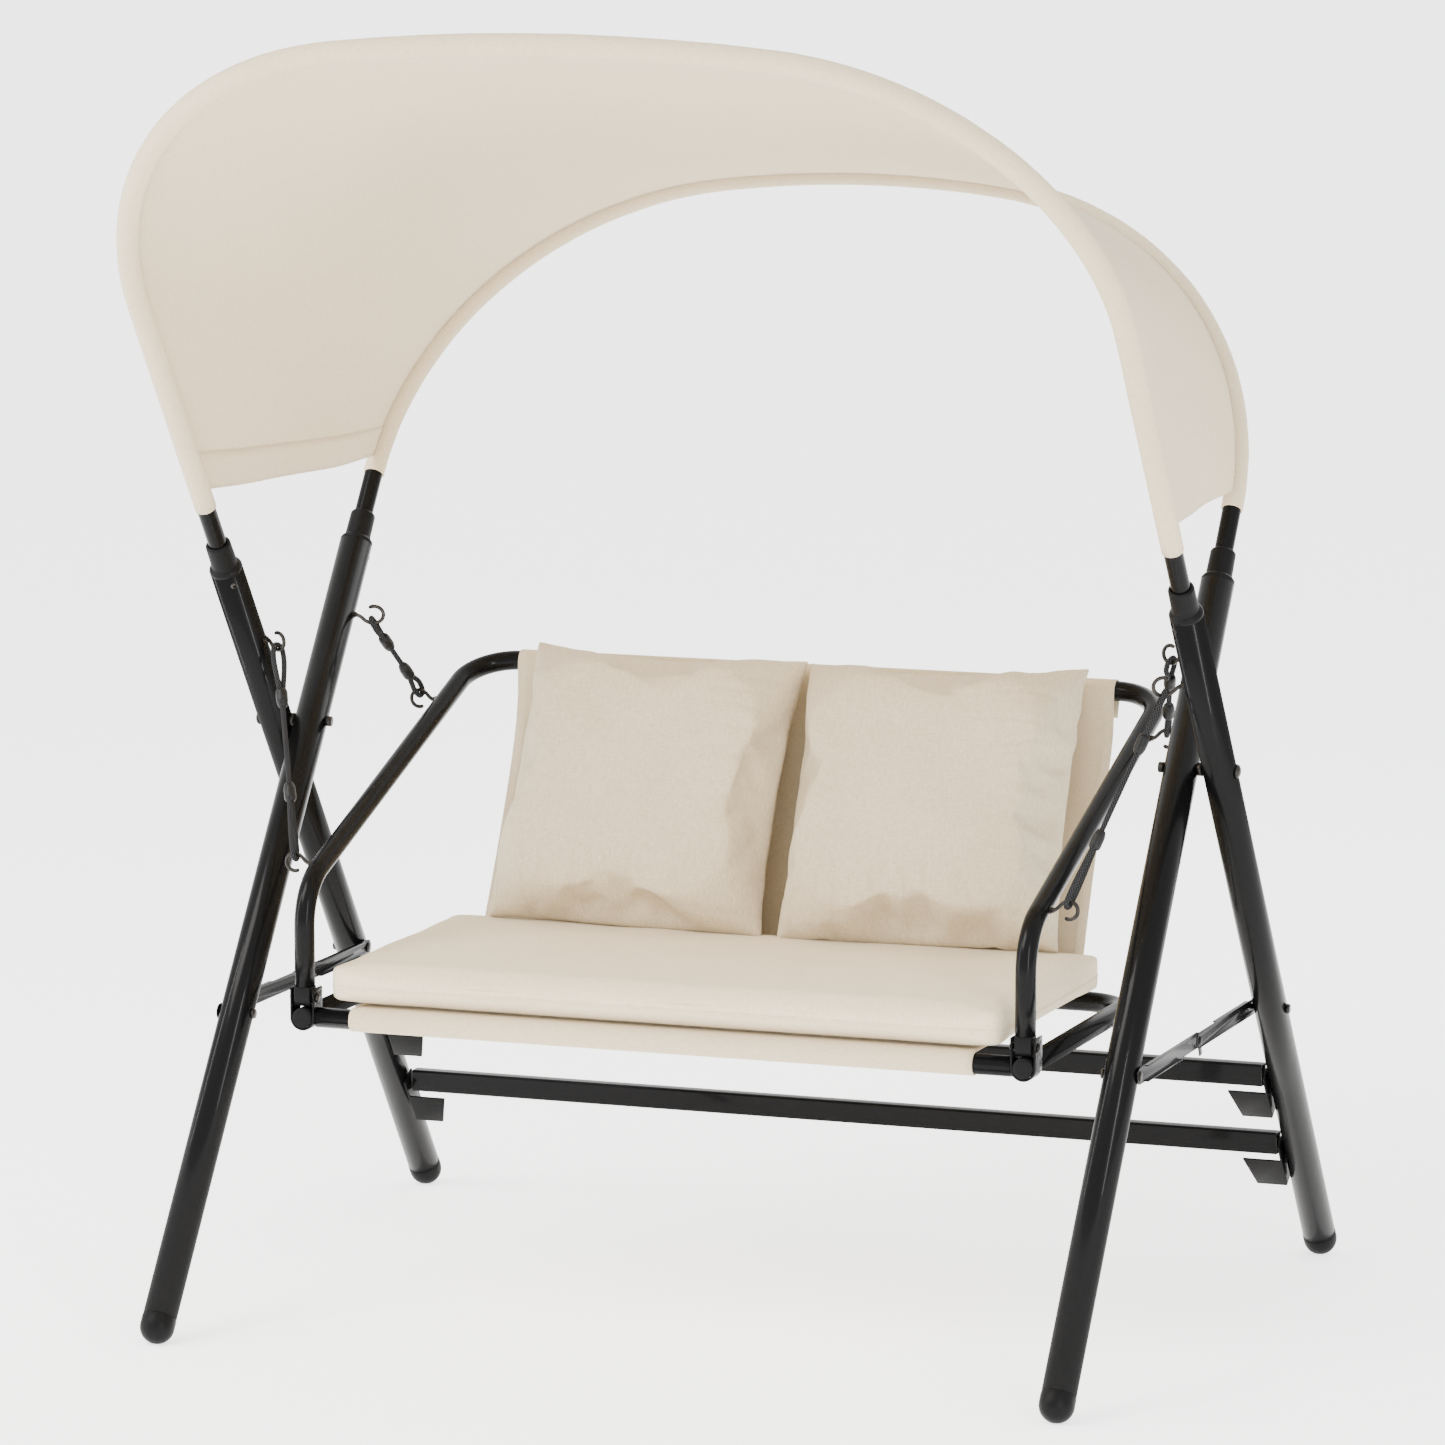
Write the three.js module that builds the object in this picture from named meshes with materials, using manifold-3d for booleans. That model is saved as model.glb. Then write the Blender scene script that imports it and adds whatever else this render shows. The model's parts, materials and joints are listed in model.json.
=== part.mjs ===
// A folding two-seat garden swing under a canopy.
// Millimetres. +Z is up, +Y is towards the back, +X is the sitter's left as seen from the front.
// Two pairs of crossing legs turn on one bolt at each side. The rear-footed legs lean forward and
// carry the front canopy bow; the front-footed legs lean back and carry the rear bow. The seat hangs
// between them on four ropes.

import * as THREE from 'three';
import { mergeVertices } from 'three/addons/utils/BufferGeometryUtils.js';
import Module from 'manifold-3d';

const wasm = await Module();
wasm.setup();

// ---------------------------------------------------------------- driving dimensions

// Legs
const legTube = 50;
const legWall = 1.5;
const rearLegX = 742;             // centre plane of the rear-footed legs, the outer pair
const legPlaneGap = 8;            // clear space between the outer and the inner legs
const pivotHeight = 834;
const footReach = 577;            // foot centre, front or rear of the pivot
const legTopRise = 253;           // leg top above the pivot
const footRadius = 25.5;
const footFlat = 1;               // how far the domed foot is cut flat where it stands
const footCollar = 14;

// Canopy bows and the sockets that hold them
const bowTube = 28;
const bowWall = 1.5;
const socketNeck = 38;
const socketNeckLength = 47;
const bowInsert = 60;
const frontBowTop = 1310;         // along the leg line, from the pivot
const frontBowCorner = 480;
const frontBowCrown = 2500;
const rearBowTop = 985;
const rearBowCorner = 560;
const rearBowCrown = 1500;
const bowSides = 8;
const sleeveStart = 428;          // where the cloth sleeves begin, along the leg line
const sleeveCloth = 1.5;
const hemStart = 462;             // where the canopy sheet begins, along the leg line
const canopyCloth = 2;
const canopySag = 14;

// Crossbars between the rear-footed legs
const barHeight = 34;
const barDepth = 25;
const barWall = 1.5;
const barEndGap = 9;
const lowerBarHeight = 195;
const upperBarHeight = 316;
const gussetPlate = 3;
const gussetDrop = 53;

// Folding side braces
const bracePinDrop = 489;         // along the leg, below the pivot
const strapHeight = 24;
const strapThickness = 1.8;
const strapLip = 5;
const strapLipStart = 24;
const strapLapLength = 90;

// Bolts and pins
const pivotBolt = 10;
const bracePin = 8;
const seatPin = 8;
const holeClearance = 0.3;

// Ropes and hooks
const hookWire = 4.5;
const hookRadius = 13;
const hookReach = 28;             // from the tube's face to the centre of the hook's bend
const hookTurn = 30 * Math.PI / 180;
const frontHookRise = 165.8;      // along the leg, above the pivot
const rearHookRise = 183;
const frontArmHook = 70;          // along the arm, from its lower corner
const rearArmHook = 582.5;
const ropeDiameter = 8;
const crimpDiameter = 18;
const crimpLength = 30;
const eyeSlack = 2.5;             // between a rope's eye and the wire it hangs on
const frontUpperEye = 64;
const frontLowerEye = 84;
const rearEye = 30;

// Seat
const seatTube = 30;
const seatWall = 1.5;
const drain = 6;                  // water drain on the inner side of each arm
const seatInset = 187;            // from the rear-footed legs in to the seat's side tubes
const seatSideX = rearLegX - seatInset;
const seatDrop = 388;             // from the legs' crossing down to the seat tubes
const seatTubeHeight = pivotHeight - seatDrop;
const seatFrontY = -342;
const seatRearY = 185;
const seatRearBend = 70;
const armY = -327;
const armRise = 192;              // from the seat tubes up to the arm's lower corner
const armCornerHeight = seatTubeHeight + armRise;
const armSlope = 20.4 * Math.PI / 180;
const armLength = 721;            // along the slope, from the lower corner to the back tube
const armLowerBend = 85;
const armUpperBend = 75;
const bracketPlate = 3;
const bracketDepth = 32;
const bracketGap = 1;
const bracketRise = 14;           // above the arm pin's seat on the tube
const bracketTop = seatTubeHeight + seatTube + bracketRise;
const slingInset = 75;            // from the seat's side tubes in to the sling's edges
const slingWidth = 2 * (seatSideX - slingInset);
const slingCloth = 2;

// Cushions
const cushionInset = 32;
const cushionWidth = 2 * (seatSideX - cushionInset);
const cushionFrontY = -335;
const cushionRearY = 165;
const cushionLift = 5.5;          // from the top of the seat tubes up to the cushion
const cushionBottom = seatTubeHeight + seatTube / 2 + cushionLift;
const cushionDepth = 63.5;
const cushionTop = cushionBottom + cushionDepth;
const pillowSize = 438;
const pillowThickness = 140;
const pillowLean = 25.2 * Math.PI / 180;
const pillowY = 185;
const pillowRise = 205;           // from the cushion's top up to a pillow's middle
const pillowHeight = cushionTop + pillowRise;
const pillowLeftX = -219;
const pillowRightX = 236;

const gap = 0.3;

// ---------------------------------------------------------------- worked-out places

const footCentre = footRadius - footFlat;
const legAngle = Math.atan2(footReach, pivotHeight - footCentre);
const legDrop = (pivotHeight - footCentre) / Math.cos(legAngle);
const legRise = legTopRise / Math.cos(legAngle);
const legRadius = legTube / 2;
const seatRadius = seatTube / 2;
const frontLegX = rearLegX - legTube - legPlaneGap;
const rearLegFace = rearLegX - legRadius;
const frontLegFace = frontLegX + legRadius;
const seatPinHeight = seatTubeHeight + seatRadius + seatRadius - 0.5;
const X = new THREE.Vector3(1, 0, 0);
const SIDES = [['left', -1], ['right', 1]];

// ---------------------------------------------------------------- materials

const finish = (color, roughness, metalness) => new THREE.MeshStandardMaterial({ color, roughness, metalness });
const paint = () => finish(0x2a2a2b, 0.28, 0.35);
const plastic = () => finish(0x1c1c1d, 0.5, 0);
const steel = () => finish(0x34342f, 0.35, 0.8);
const cloth = () => finish(0xd9cdb6, 0.9, 0);
const padding = () => finish(0xefe5cf, 0.9, 0);
const cord = () => finish(0x3b3b3b, 0.85, 0);

// ---------------------------------------------------------------- solids

const object = new THREE.Group();

// One closed body with shared vertices and its faces pointing out.
function closed(geometry) {
  let body = geometry.clone();
  for (const name of Object.keys(body.attributes)) if (name !== 'position') body.deleteAttribute(name);
  body = mergeVertices(body, 1e-4);
  const all = body.index.array;
  const kept = [];
  for (let i = 0; i < all.length; i += 3) {
    const [a, b, c] = all.slice(i, i + 3);
    if (a !== b && b !== c && c !== a) kept.push(a, b, c);
  }
  body.setIndex(kept);
  const at = body.attributes.position;
  const index = body.index.array;
  const corner = [0, 1, 2].map(() => new THREE.Vector3());
  let volume = 0;
  for (let i = 0; i < index.length; i += 3) {
    corner.forEach((v, k) => v.fromBufferAttribute(at, index[i + k]));
    volume += corner[0].dot(corner[1].clone().cross(corner[2]));
  }
  if (volume < 0) for (let i = 0; i < index.length; i += 3) [index[i], index[i + 1]] = [index[i + 1], index[i]];
  return body;
}

function toManifold(geometry) {
  const body = closed(geometry);
  return new wasm.Manifold(new wasm.Mesh({
    numProp: 3,
    vertProperties: new Float32Array(body.attributes.position.array),
    triVerts: new Uint32Array(body.index.array),
  }));
}

function fromManifold(solid) {
  const mesh = solid.getMesh();
  const body = new THREE.BufferGeometry();
  body.setAttribute('position', new THREE.BufferAttribute(new Float32Array(mesh.vertProperties), 3));
  body.setIndex(new THREE.BufferAttribute(new Uint32Array(mesh.triVerts), 1));
  return body;
}

function join(...pieces) {
  return fromManifold(pieces.map(toManifold).reduce((all, piece) => all.add(piece)));
}

function cut(piece, ...tools) {
  return fromManifold(tools.map(toManifold).reduce((all, tool) => all.subtract(tool), toManifold(piece)));
}

function add(parent, name, geometry, material) {
  const body = closed(geometry);
  body.computeVertexNormals();
  const mesh = new THREE.Mesh(body, material);
  mesh.name = name;
  parent.add(mesh);
  return mesh;
}

// A path that takes one step from each of its stations to the next.
class StationPath extends THREE.Curve {
  constructor(stations) {
    super();
    this.stations = stations;
  }
  get steps() {
    return this.stations.length - 1;
  }
  span(t) {
    const place = Math.min(Math.max(t, 0), 1) * this.steps;
    const i = Math.min(Math.floor(place), this.steps - 1);
    return [this.stations[i], this.stations[i + 1], place - i];
  }
  getPoint(t, target = new THREE.Vector3()) {
    const [a, b, part] = this.span(t);
    return target.lerpVectors(a.point, b.point, part);
  }
  getTangent(t, target = new THREE.Vector3()) {
    const [a, b, part] = this.span(t);
    return target.lerpVectors(a.tangent, b.tangent, part).normalize();
  }
  getUtoTmapping(u) {
    return u;
  }
}

// Stations along an arc: the spoke turns about the axis from the arc's start to its end.
function arcStations(centre, spoke, axis, angle, steps) {
  const tangent = axis.clone().cross(spoke).normalize().multiplyScalar(Math.sign(angle));
  return Array.from({ length: steps + 1 }, (_, k) => {
    const turn = angle * k / steps;
    return {
      point: spoke.clone().applyAxisAngle(axis, turn).add(centre),
      tangent: tangent.clone().applyAxisAngle(axis, turn),
    };
  });
}

// A tube's centre line through the given corners, each rounded to its bend radius.
function bentPath(corners, bends, degreesPerStep = 15) {
  const way = (a, b) => b.clone().sub(a).normalize();
  const last = corners.length - 1;
  const stations = [{ point: corners[0], tangent: way(corners[0], corners[1]) }];
  for (let i = 1; i < last; i++) {
    const before = way(corners[i - 1], corners[i]);
    const after = way(corners[i], corners[i + 1]);
    const turn = before.angleTo(after);
    const axis = before.clone().cross(after).normalize();
    const radius = bends[i - 1];
    const start = corners[i].clone().addScaledVector(before, -radius * Math.tan(turn / 2));
    const spoke = before.clone().cross(axis).multiplyScalar(radius);
    const steps = Math.max(2, Math.round(turn * 180 / Math.PI / degreesPerStep));
    stations.push(...arcStations(start.clone().sub(spoke), spoke, axis, turn, steps));
  }
  stations.push({ point: corners[last], tangent: way(corners[last - 1], corners[last]) });
  return new StationPath(stations);
}

// A smooth path through the points with the same number of steps between each two of them.
function smoothPath(points, stepsBetween) {
  const curve = new THREE.CatmullRomCurve3(points, false, 'centripetal');
  const count = (points.length - 1) * stepsBetween;
  return new StationPath(Array.from({ length: count + 1 }, (_, i) => (
    { point: curve.getPoint(i / count), tangent: curve.getTangent(i / count) })));
}

// An arch in the XZ plane: straight sides, two corner arcs and a flatter crown, all tangent.
function archPath(halfWidth, foot, top, cornerRadius, crownRadius) {
  const Y = new THREE.Vector3(0, 1, 0);
  const lean = Math.asin((halfWidth - cornerRadius) / (crownRadius - cornerRadius));
  const cornerZ = top - crownRadius + (crownRadius - cornerRadius) * Math.cos(lean);
  const corner = (side, spoke) => arcStations(
    new THREE.Vector3(side * (halfWidth - cornerRadius), 0, cornerZ), spoke.multiplyScalar(cornerRadius),
    Y, Math.PI / 2 - lean, 7);
  const crownStart = new THREE.Vector3(-Math.sin(lean), 0, Math.cos(lean));
  const crown = arcStations(new THREE.Vector3(0, 0, top - crownRadius),
    crownStart.clone().multiplyScalar(crownRadius), Y, 2 * lean, 3).slice(1, -1);
  const side = (sign) => ({
    point: new THREE.Vector3(sign * halfWidth, 0, foot),
    tangent: new THREE.Vector3(0, 0, -sign),
  });
  return new StationPath([
    side(-1),
    ...corner(-1, new THREE.Vector3(-1, 0, 0)),
    ...crown,
    ...corner(1, crownStart.clone().setX(Math.sin(lean))),
    side(1),
  ]);
}

// The part of an arch above a height, on the same straight steps.
function above(arch, height) {
  const all = arch.stations;
  const first = all.findIndex((s) => s.point.z > height);
  const last = all.length - 1 - first;
  const cutBetween = (a, b) => {
    const part = (height - a.point.z) / (b.point.z - a.point.z);
    return {
      point: a.point.clone().lerp(b.point, part),
      tangent: a.tangent.clone().lerp(b.tangent, part).normalize(),
    };
  };
  return new StationPath([
    cutBetween(all[first - 1], all[first]),
    ...all.slice(first, last + 1),
    cutBetween(all[last], all[last + 1]),
  ]);
}

function ring(outer, inner, sides) {
  const shape = new THREE.Shape().absarc(0, 0, outer, 0, 2 * Math.PI);
  if (inner > 0) shape.holes.push(new THREE.Path().absarc(0, 0, inner, 0, 2 * Math.PI, true));
  return { shape, curveSegments: sides / 2 };
}

function sweep(path, outer, inner = 0, sides = 12, steps = path.steps) {
  const { shape, curveSegments } = ring(outer, inner, sides);
  return new THREE.ExtrudeGeometry(shape, { extrudePath: path, steps, curveSegments, bevelEnabled: false });
}

// Round bar or tube along X from x0 to x1.
function barX(x0, x1, outer, inner = 0, sides = 16) {
  const path = bentPath([new THREE.Vector3(x0, 0, 0), new THREE.Vector3(x1, 0, 0)], []);
  return sweep(path, outer, inner, sides);
}

// A turned piece on the X axis from [x, radius] points; it starts and ends on the axis or closes.
function turnedX(profile, sides = 16) {
  const points = profile.map(([x, radius]) => new THREE.Vector2(radius, x));
  return new THREE.LatheGeometry(points, sides).rotateZ(-Math.PI / 2);
}

// The same on the Z axis from [radius, z] points.
function turnedZ(profile, sides = 16) {
  const points = profile.map(([radius, z]) => new THREE.Vector2(radius, z));
  return new THREE.LatheGeometry(points, sides).rotateX(Math.PI / 2);
}

function box(x0, x1, y0, y1, z0, z1) {
  return new THREE.BoxGeometry(x1 - x0, y1 - y0, z1 - z0).translate((x0 + x1) / 2, (y0 + y1) / 2, (z0 + z1) / 2);
}

// A flat outline drawn in (y, z), given a thickness from x0 to x1.
function plateYZ(shape, x0, x1, curveSegments = 8) {
  const low = Math.min(x0, x1);
  const body = new THREE.ExtrudeGeometry(shape, { depth: Math.abs(x1 - x0), bevelEnabled: false, curveSegments });
  const turn = new THREE.Matrix4().set(0, 0, 1, low, 1, 0, 0, 0, 0, 1, 0, 0, 0, 0, 0, 1);
  return body.applyMatrix4(turn);
}

// A flat outline drawn in (x, z), given a thickness from y0 to y1.
function plateXZ(shape, y0, y1, curveSegments = 8) {
  const body = new THREE.ExtrudeGeometry(shape, { depth: y1 - y0, bevelEnabled: false, curveSegments });
  const turn = new THREE.Matrix4().set(1, 0, 0, 0, 0, 0, 1, y0, 0, 1, 0, 0, 0, 0, 0, 1);
  return body.applyMatrix4(turn);
}

function roundedRect(x0, x1, y0, y1, r) {
  const s = new THREE.Shape();
  s.moveTo(x0 + r, y0);
  s.lineTo(x1 - r, y0);
  s.absarc(x1 - r, y0 + r, r, -Math.PI / 2, 0);
  s.absarc(x1 - r, y1 - r, r, 0, Math.PI / 2);
  s.absarc(x0 + r, y1 - r, r, Math.PI / 2, Math.PI);
  s.absarc(x0 + r, y0 + r, r, Math.PI, 1.5 * Math.PI);
  return s;
}

// ---------------------------------------------------------------- legs

// Both leg groups turn about X at the pivot; lean is +1 for the rear-footed legs, which lean forward.
function legGroup(lean) {
  const group = new THREE.Group();
  group.position.z = pivotHeight;
  group.rotation.x = lean * legAngle;
  object.add(group);
  group.updateMatrixWorld(true);
  return group;
}

function boreX(x, z, diameter, reach = legTube) {
  return barX(x - reach, x + reach, diameter / 2 + holeClearance).translate(0, 0, z);
}

function footCap(group, x) {
  const plugRadius = legRadius - legWall - 0.8;
  const steps = 5;
  const dome = Array.from({ length: steps + 1 }, (_, i) => {
    const a = Math.PI / 2 * i / steps;
    return [footRadius * Math.sin(a), -footRadius * Math.cos(a)];
  });
  const profile = [...dome, [footRadius, footCollar], [plugRadius, footCollar], [plugRadius, footCollar + 30],
    [0, footCollar + 30]];
  const cap = turnedZ(profile, 14).translate(x, 0, -legDrop);
  const floor = box(x - 60, x + 60, -800, 800, -120, 0).applyMatrix4(group.matrixWorld.clone().invert());
  return cut(cap, floor);
}

function bowSocket(x) {
  const plugRadius = legRadius - legWall - 0.8;
  const neck = socketNeck / 2;
  const bore = bowTube / 2 + gap + 0.4;
  const top = legRise + socketNeckLength;
  const profile = [[bore, legRise - 40], [plugRadius, legRise - 40], [plugRadius, legRise - 5.7],
    [legRadius, legRise - 5.7], [legRadius, legRise - 2], [legRadius - 2, legRise + 2], [neck, legRise + 4],
    [neck, top - 2], [neck - 2, top], [bore, top], [bore, legRise - 40]];
  return turnedZ(profile, 14).translate(x, 0, 0);
}

function legPair(group, pair, legX, hooksRise) {
  for (const [side, sign] of SIDES) {
    const x = sign * legX;
    const path = bentPath([
      new THREE.Vector3(x, 0, -legDrop + footCollar + gap),
      new THREE.Vector3(x, 0, legRise - 6),
    ], []);
    const tube = sweep(path, legRadius, legRadius - legWall, 16);
    const holes = [boreX(x, 0, pivotBolt), boreX(x, -bracePinDrop, bracePin)];
    add(group, `${pair}_leg_${side}`, cut(tube, ...holes), paint());
    add(group, `${pair}_foot_${side}`, footCap(group, x), plastic());
    add(group, `${pair}_leg_socket_${side}`, bowSocket(x), plastic());
  }
}

const rearLegs = legGroup(1);
const frontLegs = legGroup(-1);
legPair(rearLegs, 'rear', rearLegX);
legPair(frontLegs, 'front', frontLegX);

// The pivot bolt: domed head outside, a collar that keeps the legs apart, nut inside.
for (const [side, sign] of SIDES) {
  const shank = pivotBolt / 2;
  const head = rearLegX + legRadius + gap;
  const nut = frontLegX - legRadius - gap;
  const profile = [[nut - 8, 0], [nut - 8, 8], [nut, 8], [nut, shank], [frontLegFace + gap, shank],
    [frontLegFace + gap, 10], [rearLegFace - gap, 10], [rearLegFace - gap, shank], [head, shank], [head, 11],
    [head + 3, 9.5], [head + 5.5, 5], [head + 6, 0]];
  const bolt = turnedX(profile, 12).rotateZ(sign < 0 ? Math.PI : 0);
  add(object, `pivot_bolt_${side}`, bolt.translate(0, 0, pivotHeight), steel());
}

// ---------------------------------------------------------------- canopy bows and cloth

const bowFoot = legRise + socketNeckLength - bowInsert;
const frontArch = archPath(rearLegX, bowFoot, frontBowTop, frontBowCorner, frontBowCrown);
const rearArch = archPath(frontLegX, bowFoot, rearBowTop, rearBowCorner, rearBowCrown);
const bowRadius = bowTube / 2;
const sleeveInner = bowRadius + gap + 0.2;
const sleeveOuter = sleeveInner + sleeveCloth;
const bowTubeOn = (arch) => sweep(arch, bowRadius, bowRadius - bowWall, bowSides);
const sleeveOn = (arch) => sweep(above(arch, sleeveStart), sleeveOuter, sleeveInner, bowSides);

add(rearLegs, 'front_bow', bowTubeOn(frontArch), paint());
add(rearLegs, 'front_bow_sleeve', sleeveOn(frontArch), cloth());
add(frontLegs, 'rear_bow', bowTubeOn(rearArch), paint());
add(frontLegs, 'rear_bow_sleeve', sleeveOn(rearArch), cloth());

// Points at equal distances along an arch, in the object's frame.
function archPoints(arch, group, count) {
  const at = arch.stations.map((s) => s.point.clone().applyMatrix4(group.matrixWorld));
  const along = [0];
  for (let i = 1; i < at.length; i++) along.push(along[i - 1] + at[i].distanceTo(at[i - 1]));
  return Array.from({ length: count + 1 }, (_, k) => {
    const want = along[along.length - 1] * k / count;
    let i = 1;
    while (i < at.length - 1 && along[i] < want) i++;
    return at[i - 1].clone().lerp(at[i], (want - along[i - 1]) / (along[i] - along[i - 1]));
  });
}

// A closed shell of even thickness about a grid of points: rows[r][c].
function shell(rows, thickness) {
  const R = rows.length;
  const C = rows[0].length;
  const points = [];
  const half = thickness / 2;
  for (const offset of [half, -half]) {
    for (let r = 0; r < R; r++) {
      for (let c = 0; c < C; c++) {
        const u = rows[Math.min(r + 1, R - 1)][c].clone().sub(rows[Math.max(r - 1, 0)][c]);
        const v = rows[r][Math.min(c + 1, C - 1)].clone().sub(rows[r][Math.max(c - 1, 0)]);
        points.push(...rows[r][c].clone().addScaledVector(u.cross(v).normalize(), offset).toArray());
      }
    }
  }
  const index = [];
  const at = (layer, r, c) => layer * R * C + r * C + c;
  const quad = (a, b, c, d) => index.push(a, b, c, a, c, d);
  for (let r = 0; r < R - 1; r++) {
    for (let c = 0; c < C - 1; c++) {
      quad(at(0, r, c), at(0, r + 1, c), at(0, r + 1, c + 1), at(0, r, c + 1));
      quad(at(1, r, c), at(1, r, c + 1), at(1, r + 1, c + 1), at(1, r + 1, c));
    }
  }
  for (let r = 0; r < R - 1; r++) {
    quad(at(1, r, 0), at(1, r + 1, 0), at(0, r + 1, 0), at(0, r, 0));
    quad(at(0, r, C - 1), at(0, r + 1, C - 1), at(1, r + 1, C - 1), at(1, r, C - 1));
  }
  for (let c = 0; c < C - 1; c++) {
    quad(at(0, 0, c), at(0, 0, c + 1), at(1, 0, c + 1), at(1, 0, c));
    quad(at(1, R - 1, c), at(1, R - 1, c + 1), at(0, R - 1, c + 1), at(0, R - 1, c));
  }
  const body = new THREE.BufferGeometry();
  body.setAttribute('position', new THREE.Float32BufferAttribute(points, 3));
  body.setIndex(index);
  return body;
}

// How far along way a sheet must start to stand clear of the sleeve at place c of a bow.
function standOff(bow, c, way) {
  const along = bow[Math.min(c + 1, bow.length - 1)].clone().sub(bow[Math.max(c - 1, 0)]).normalize();
  return (sleeveOuter + canopyCloth) / along.cross(way).length();
}

function canopySheet() {
  const columns = 28;
  const rowCount = 5;
  const front = archPoints(above(frontArch, hemStart), rearLegs, columns);
  const rear = archPoints(above(rearArch, hemStart), frontLegs, columns);
  const inside = new THREE.Vector3(0, 0, pivotHeight + legTopRise);
  return shell(Array.from({ length: rowCount + 1 }, (_, r) => front.map((a, c) => {
    const b = rear[c];
    const way = b.clone().sub(a).normalize();
    const start = standOff(front, c, way);
    const end = a.distanceTo(b) - standOff(rear, c, way);
    const part = r / rowCount;
    const point = a.clone().addScaledVector(way, start + (end - start) * part);
    const inward = inside.clone().sub(point).normalize();
    return point.addScaledVector(inward, canopySag * 4 * part * (1 - part));
  })), canopyCloth);
}
add(object, 'canopy_sheet', canopySheet(), cloth());

// ---------------------------------------------------------------- crossbars and their brackets

function crossbar(height) {
  const y = Math.tan(legAngle) * (pivotHeight - height);
  const outline = roundedRect(-barDepth / 2, barDepth / 2, -barHeight / 2, barHeight / 2, 4);
  const inner = roundedRect(-barDepth / 2 + barWall, barDepth / 2 - barWall, -barHeight / 2 + barWall,
    barHeight / 2 - barWall, 2.5);
  outline.holes.push(inner);
  const half = rearLegFace - barEndGap;
  return plateYZ(outline, -half, half, 3).translate(0, y, height);
}

// An angle bracket at a bar's end: a tapered plate below the bar, and a flange that runs up between
// the bar's end and the leg.
function gusset(sign, height) {
  const along = -(pivotHeight - height) / Math.cos(legAngle);
  const corner = Math.hypot(barDepth, barHeight) / 2;
  const cornerAngle = Math.atan2(barDepth, barHeight) - legAngle;
  const front = -(barDepth / 2 * Math.cos(legAngle) + barHeight / 2 * Math.sin(legAngle)) - gap;
  const edge = along - corner * Math.cos(cornerAngle);
  const outer = rearLegFace - gap;
  const shape = new THREE.Shape();
  shape.moveTo(sign * outer, edge + 4);
  shape.lineTo(sign * (outer - 62), edge + 4);
  shape.lineTo(sign * (outer - 47), edge + 4 - gussetDrop);
  shape.lineTo(sign * outer, edge + 4 - gussetDrop);
  const plate = plateXZ(shape, front - gussetPlate, front);
  const xs = [sign * (outer - gussetPlate), sign * outer].sort((a, b) => a - b);
  const flange = box(xs[0], xs[1], front - gussetPlate, 10, edge + 4 - gussetDrop, along + 14);
  return join(plate, flange);
}

for (const [level, height] of [['lower', lowerBarHeight], ['upper', upperBarHeight]]) {
  add(object, `${level}_crossbar`, crossbar(height), paint());
  for (const [side, sign] of SIDES) add(rearLegs, `${level}_bracket_${side}`, gusset(sign, height), paint());
}

// ---------------------------------------------------------------- side braces

const strapLength = bracePinDrop * Math.sin(legAngle);
const braceHeight = pivotHeight - bracePinDrop * Math.cos(legAngle);
const frontStrapX = frontLegFace + 1.3;
const rearStrapX = rearLegFace - 1.3;

function strapOutline() {
  const r = strapHeight / 2;
  const s = new THREE.Shape();
  s.moveTo(0, -r);
  s.lineTo(strapLength, -r);
  s.absarc(strapLength, 0, r, -Math.PI / 2, Math.PI / 2);
  s.lineTo(0, r);
  s.absarc(0, 0, r, Math.PI / 2, 1.5 * Math.PI);
  return s;
}

// One strap from its leg pin (y = 0) to the middle joint; lips stiffen it and point away from its leg.
function strap(x0, outward) {
  const x1 = x0 + outward * strapThickness;
  const lipX = [x1 - outward * 0.5, x1 + outward * strapLip].sort((a, b) => a - b);
  const lip = (z0, z1) => box(lipX[0], lipX[1], strapLipStart, strapLength - strapLapLength, z0, z1);
  const r = strapHeight / 2;
  const hole = barX(x0 - 20, x0 + 20, bracePin / 2 + holeClearance, 0, 12);
  const rivetHead = (from, way) => turnedX([[0, 0], [0, 7], [1.5, 6.5], [3, 3.5], [3.3, 0]], 12)
    .rotateZ(way < 0 ? Math.PI : 0).translate(from, strapLength, 0);
  const plate = join(plateYZ(strapOutline(), x0, x1), lip(r - 1.8, r), lip(-r, -r + 1.8));
  return join(cut(plate, hole), rivetHead(x0 + outward * 0.2, -outward));
}

// A finger tab hangs below the middle joint, on the rear strap.
function fingerTab(x0, x1) {
  const s = new THREE.Shape();
  s.moveTo(strapLength - 9, -strapHeight / 2 + 3);
  s.lineTo(strapLength - 14, -strapHeight / 2 - 9);
  s.lineTo(strapLength - 4, -strapHeight / 2 - 12);
  s.lineTo(strapLength + 4, -strapHeight / 2 + 3);
  return plateYZ(s, x0, x1);
}

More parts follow.
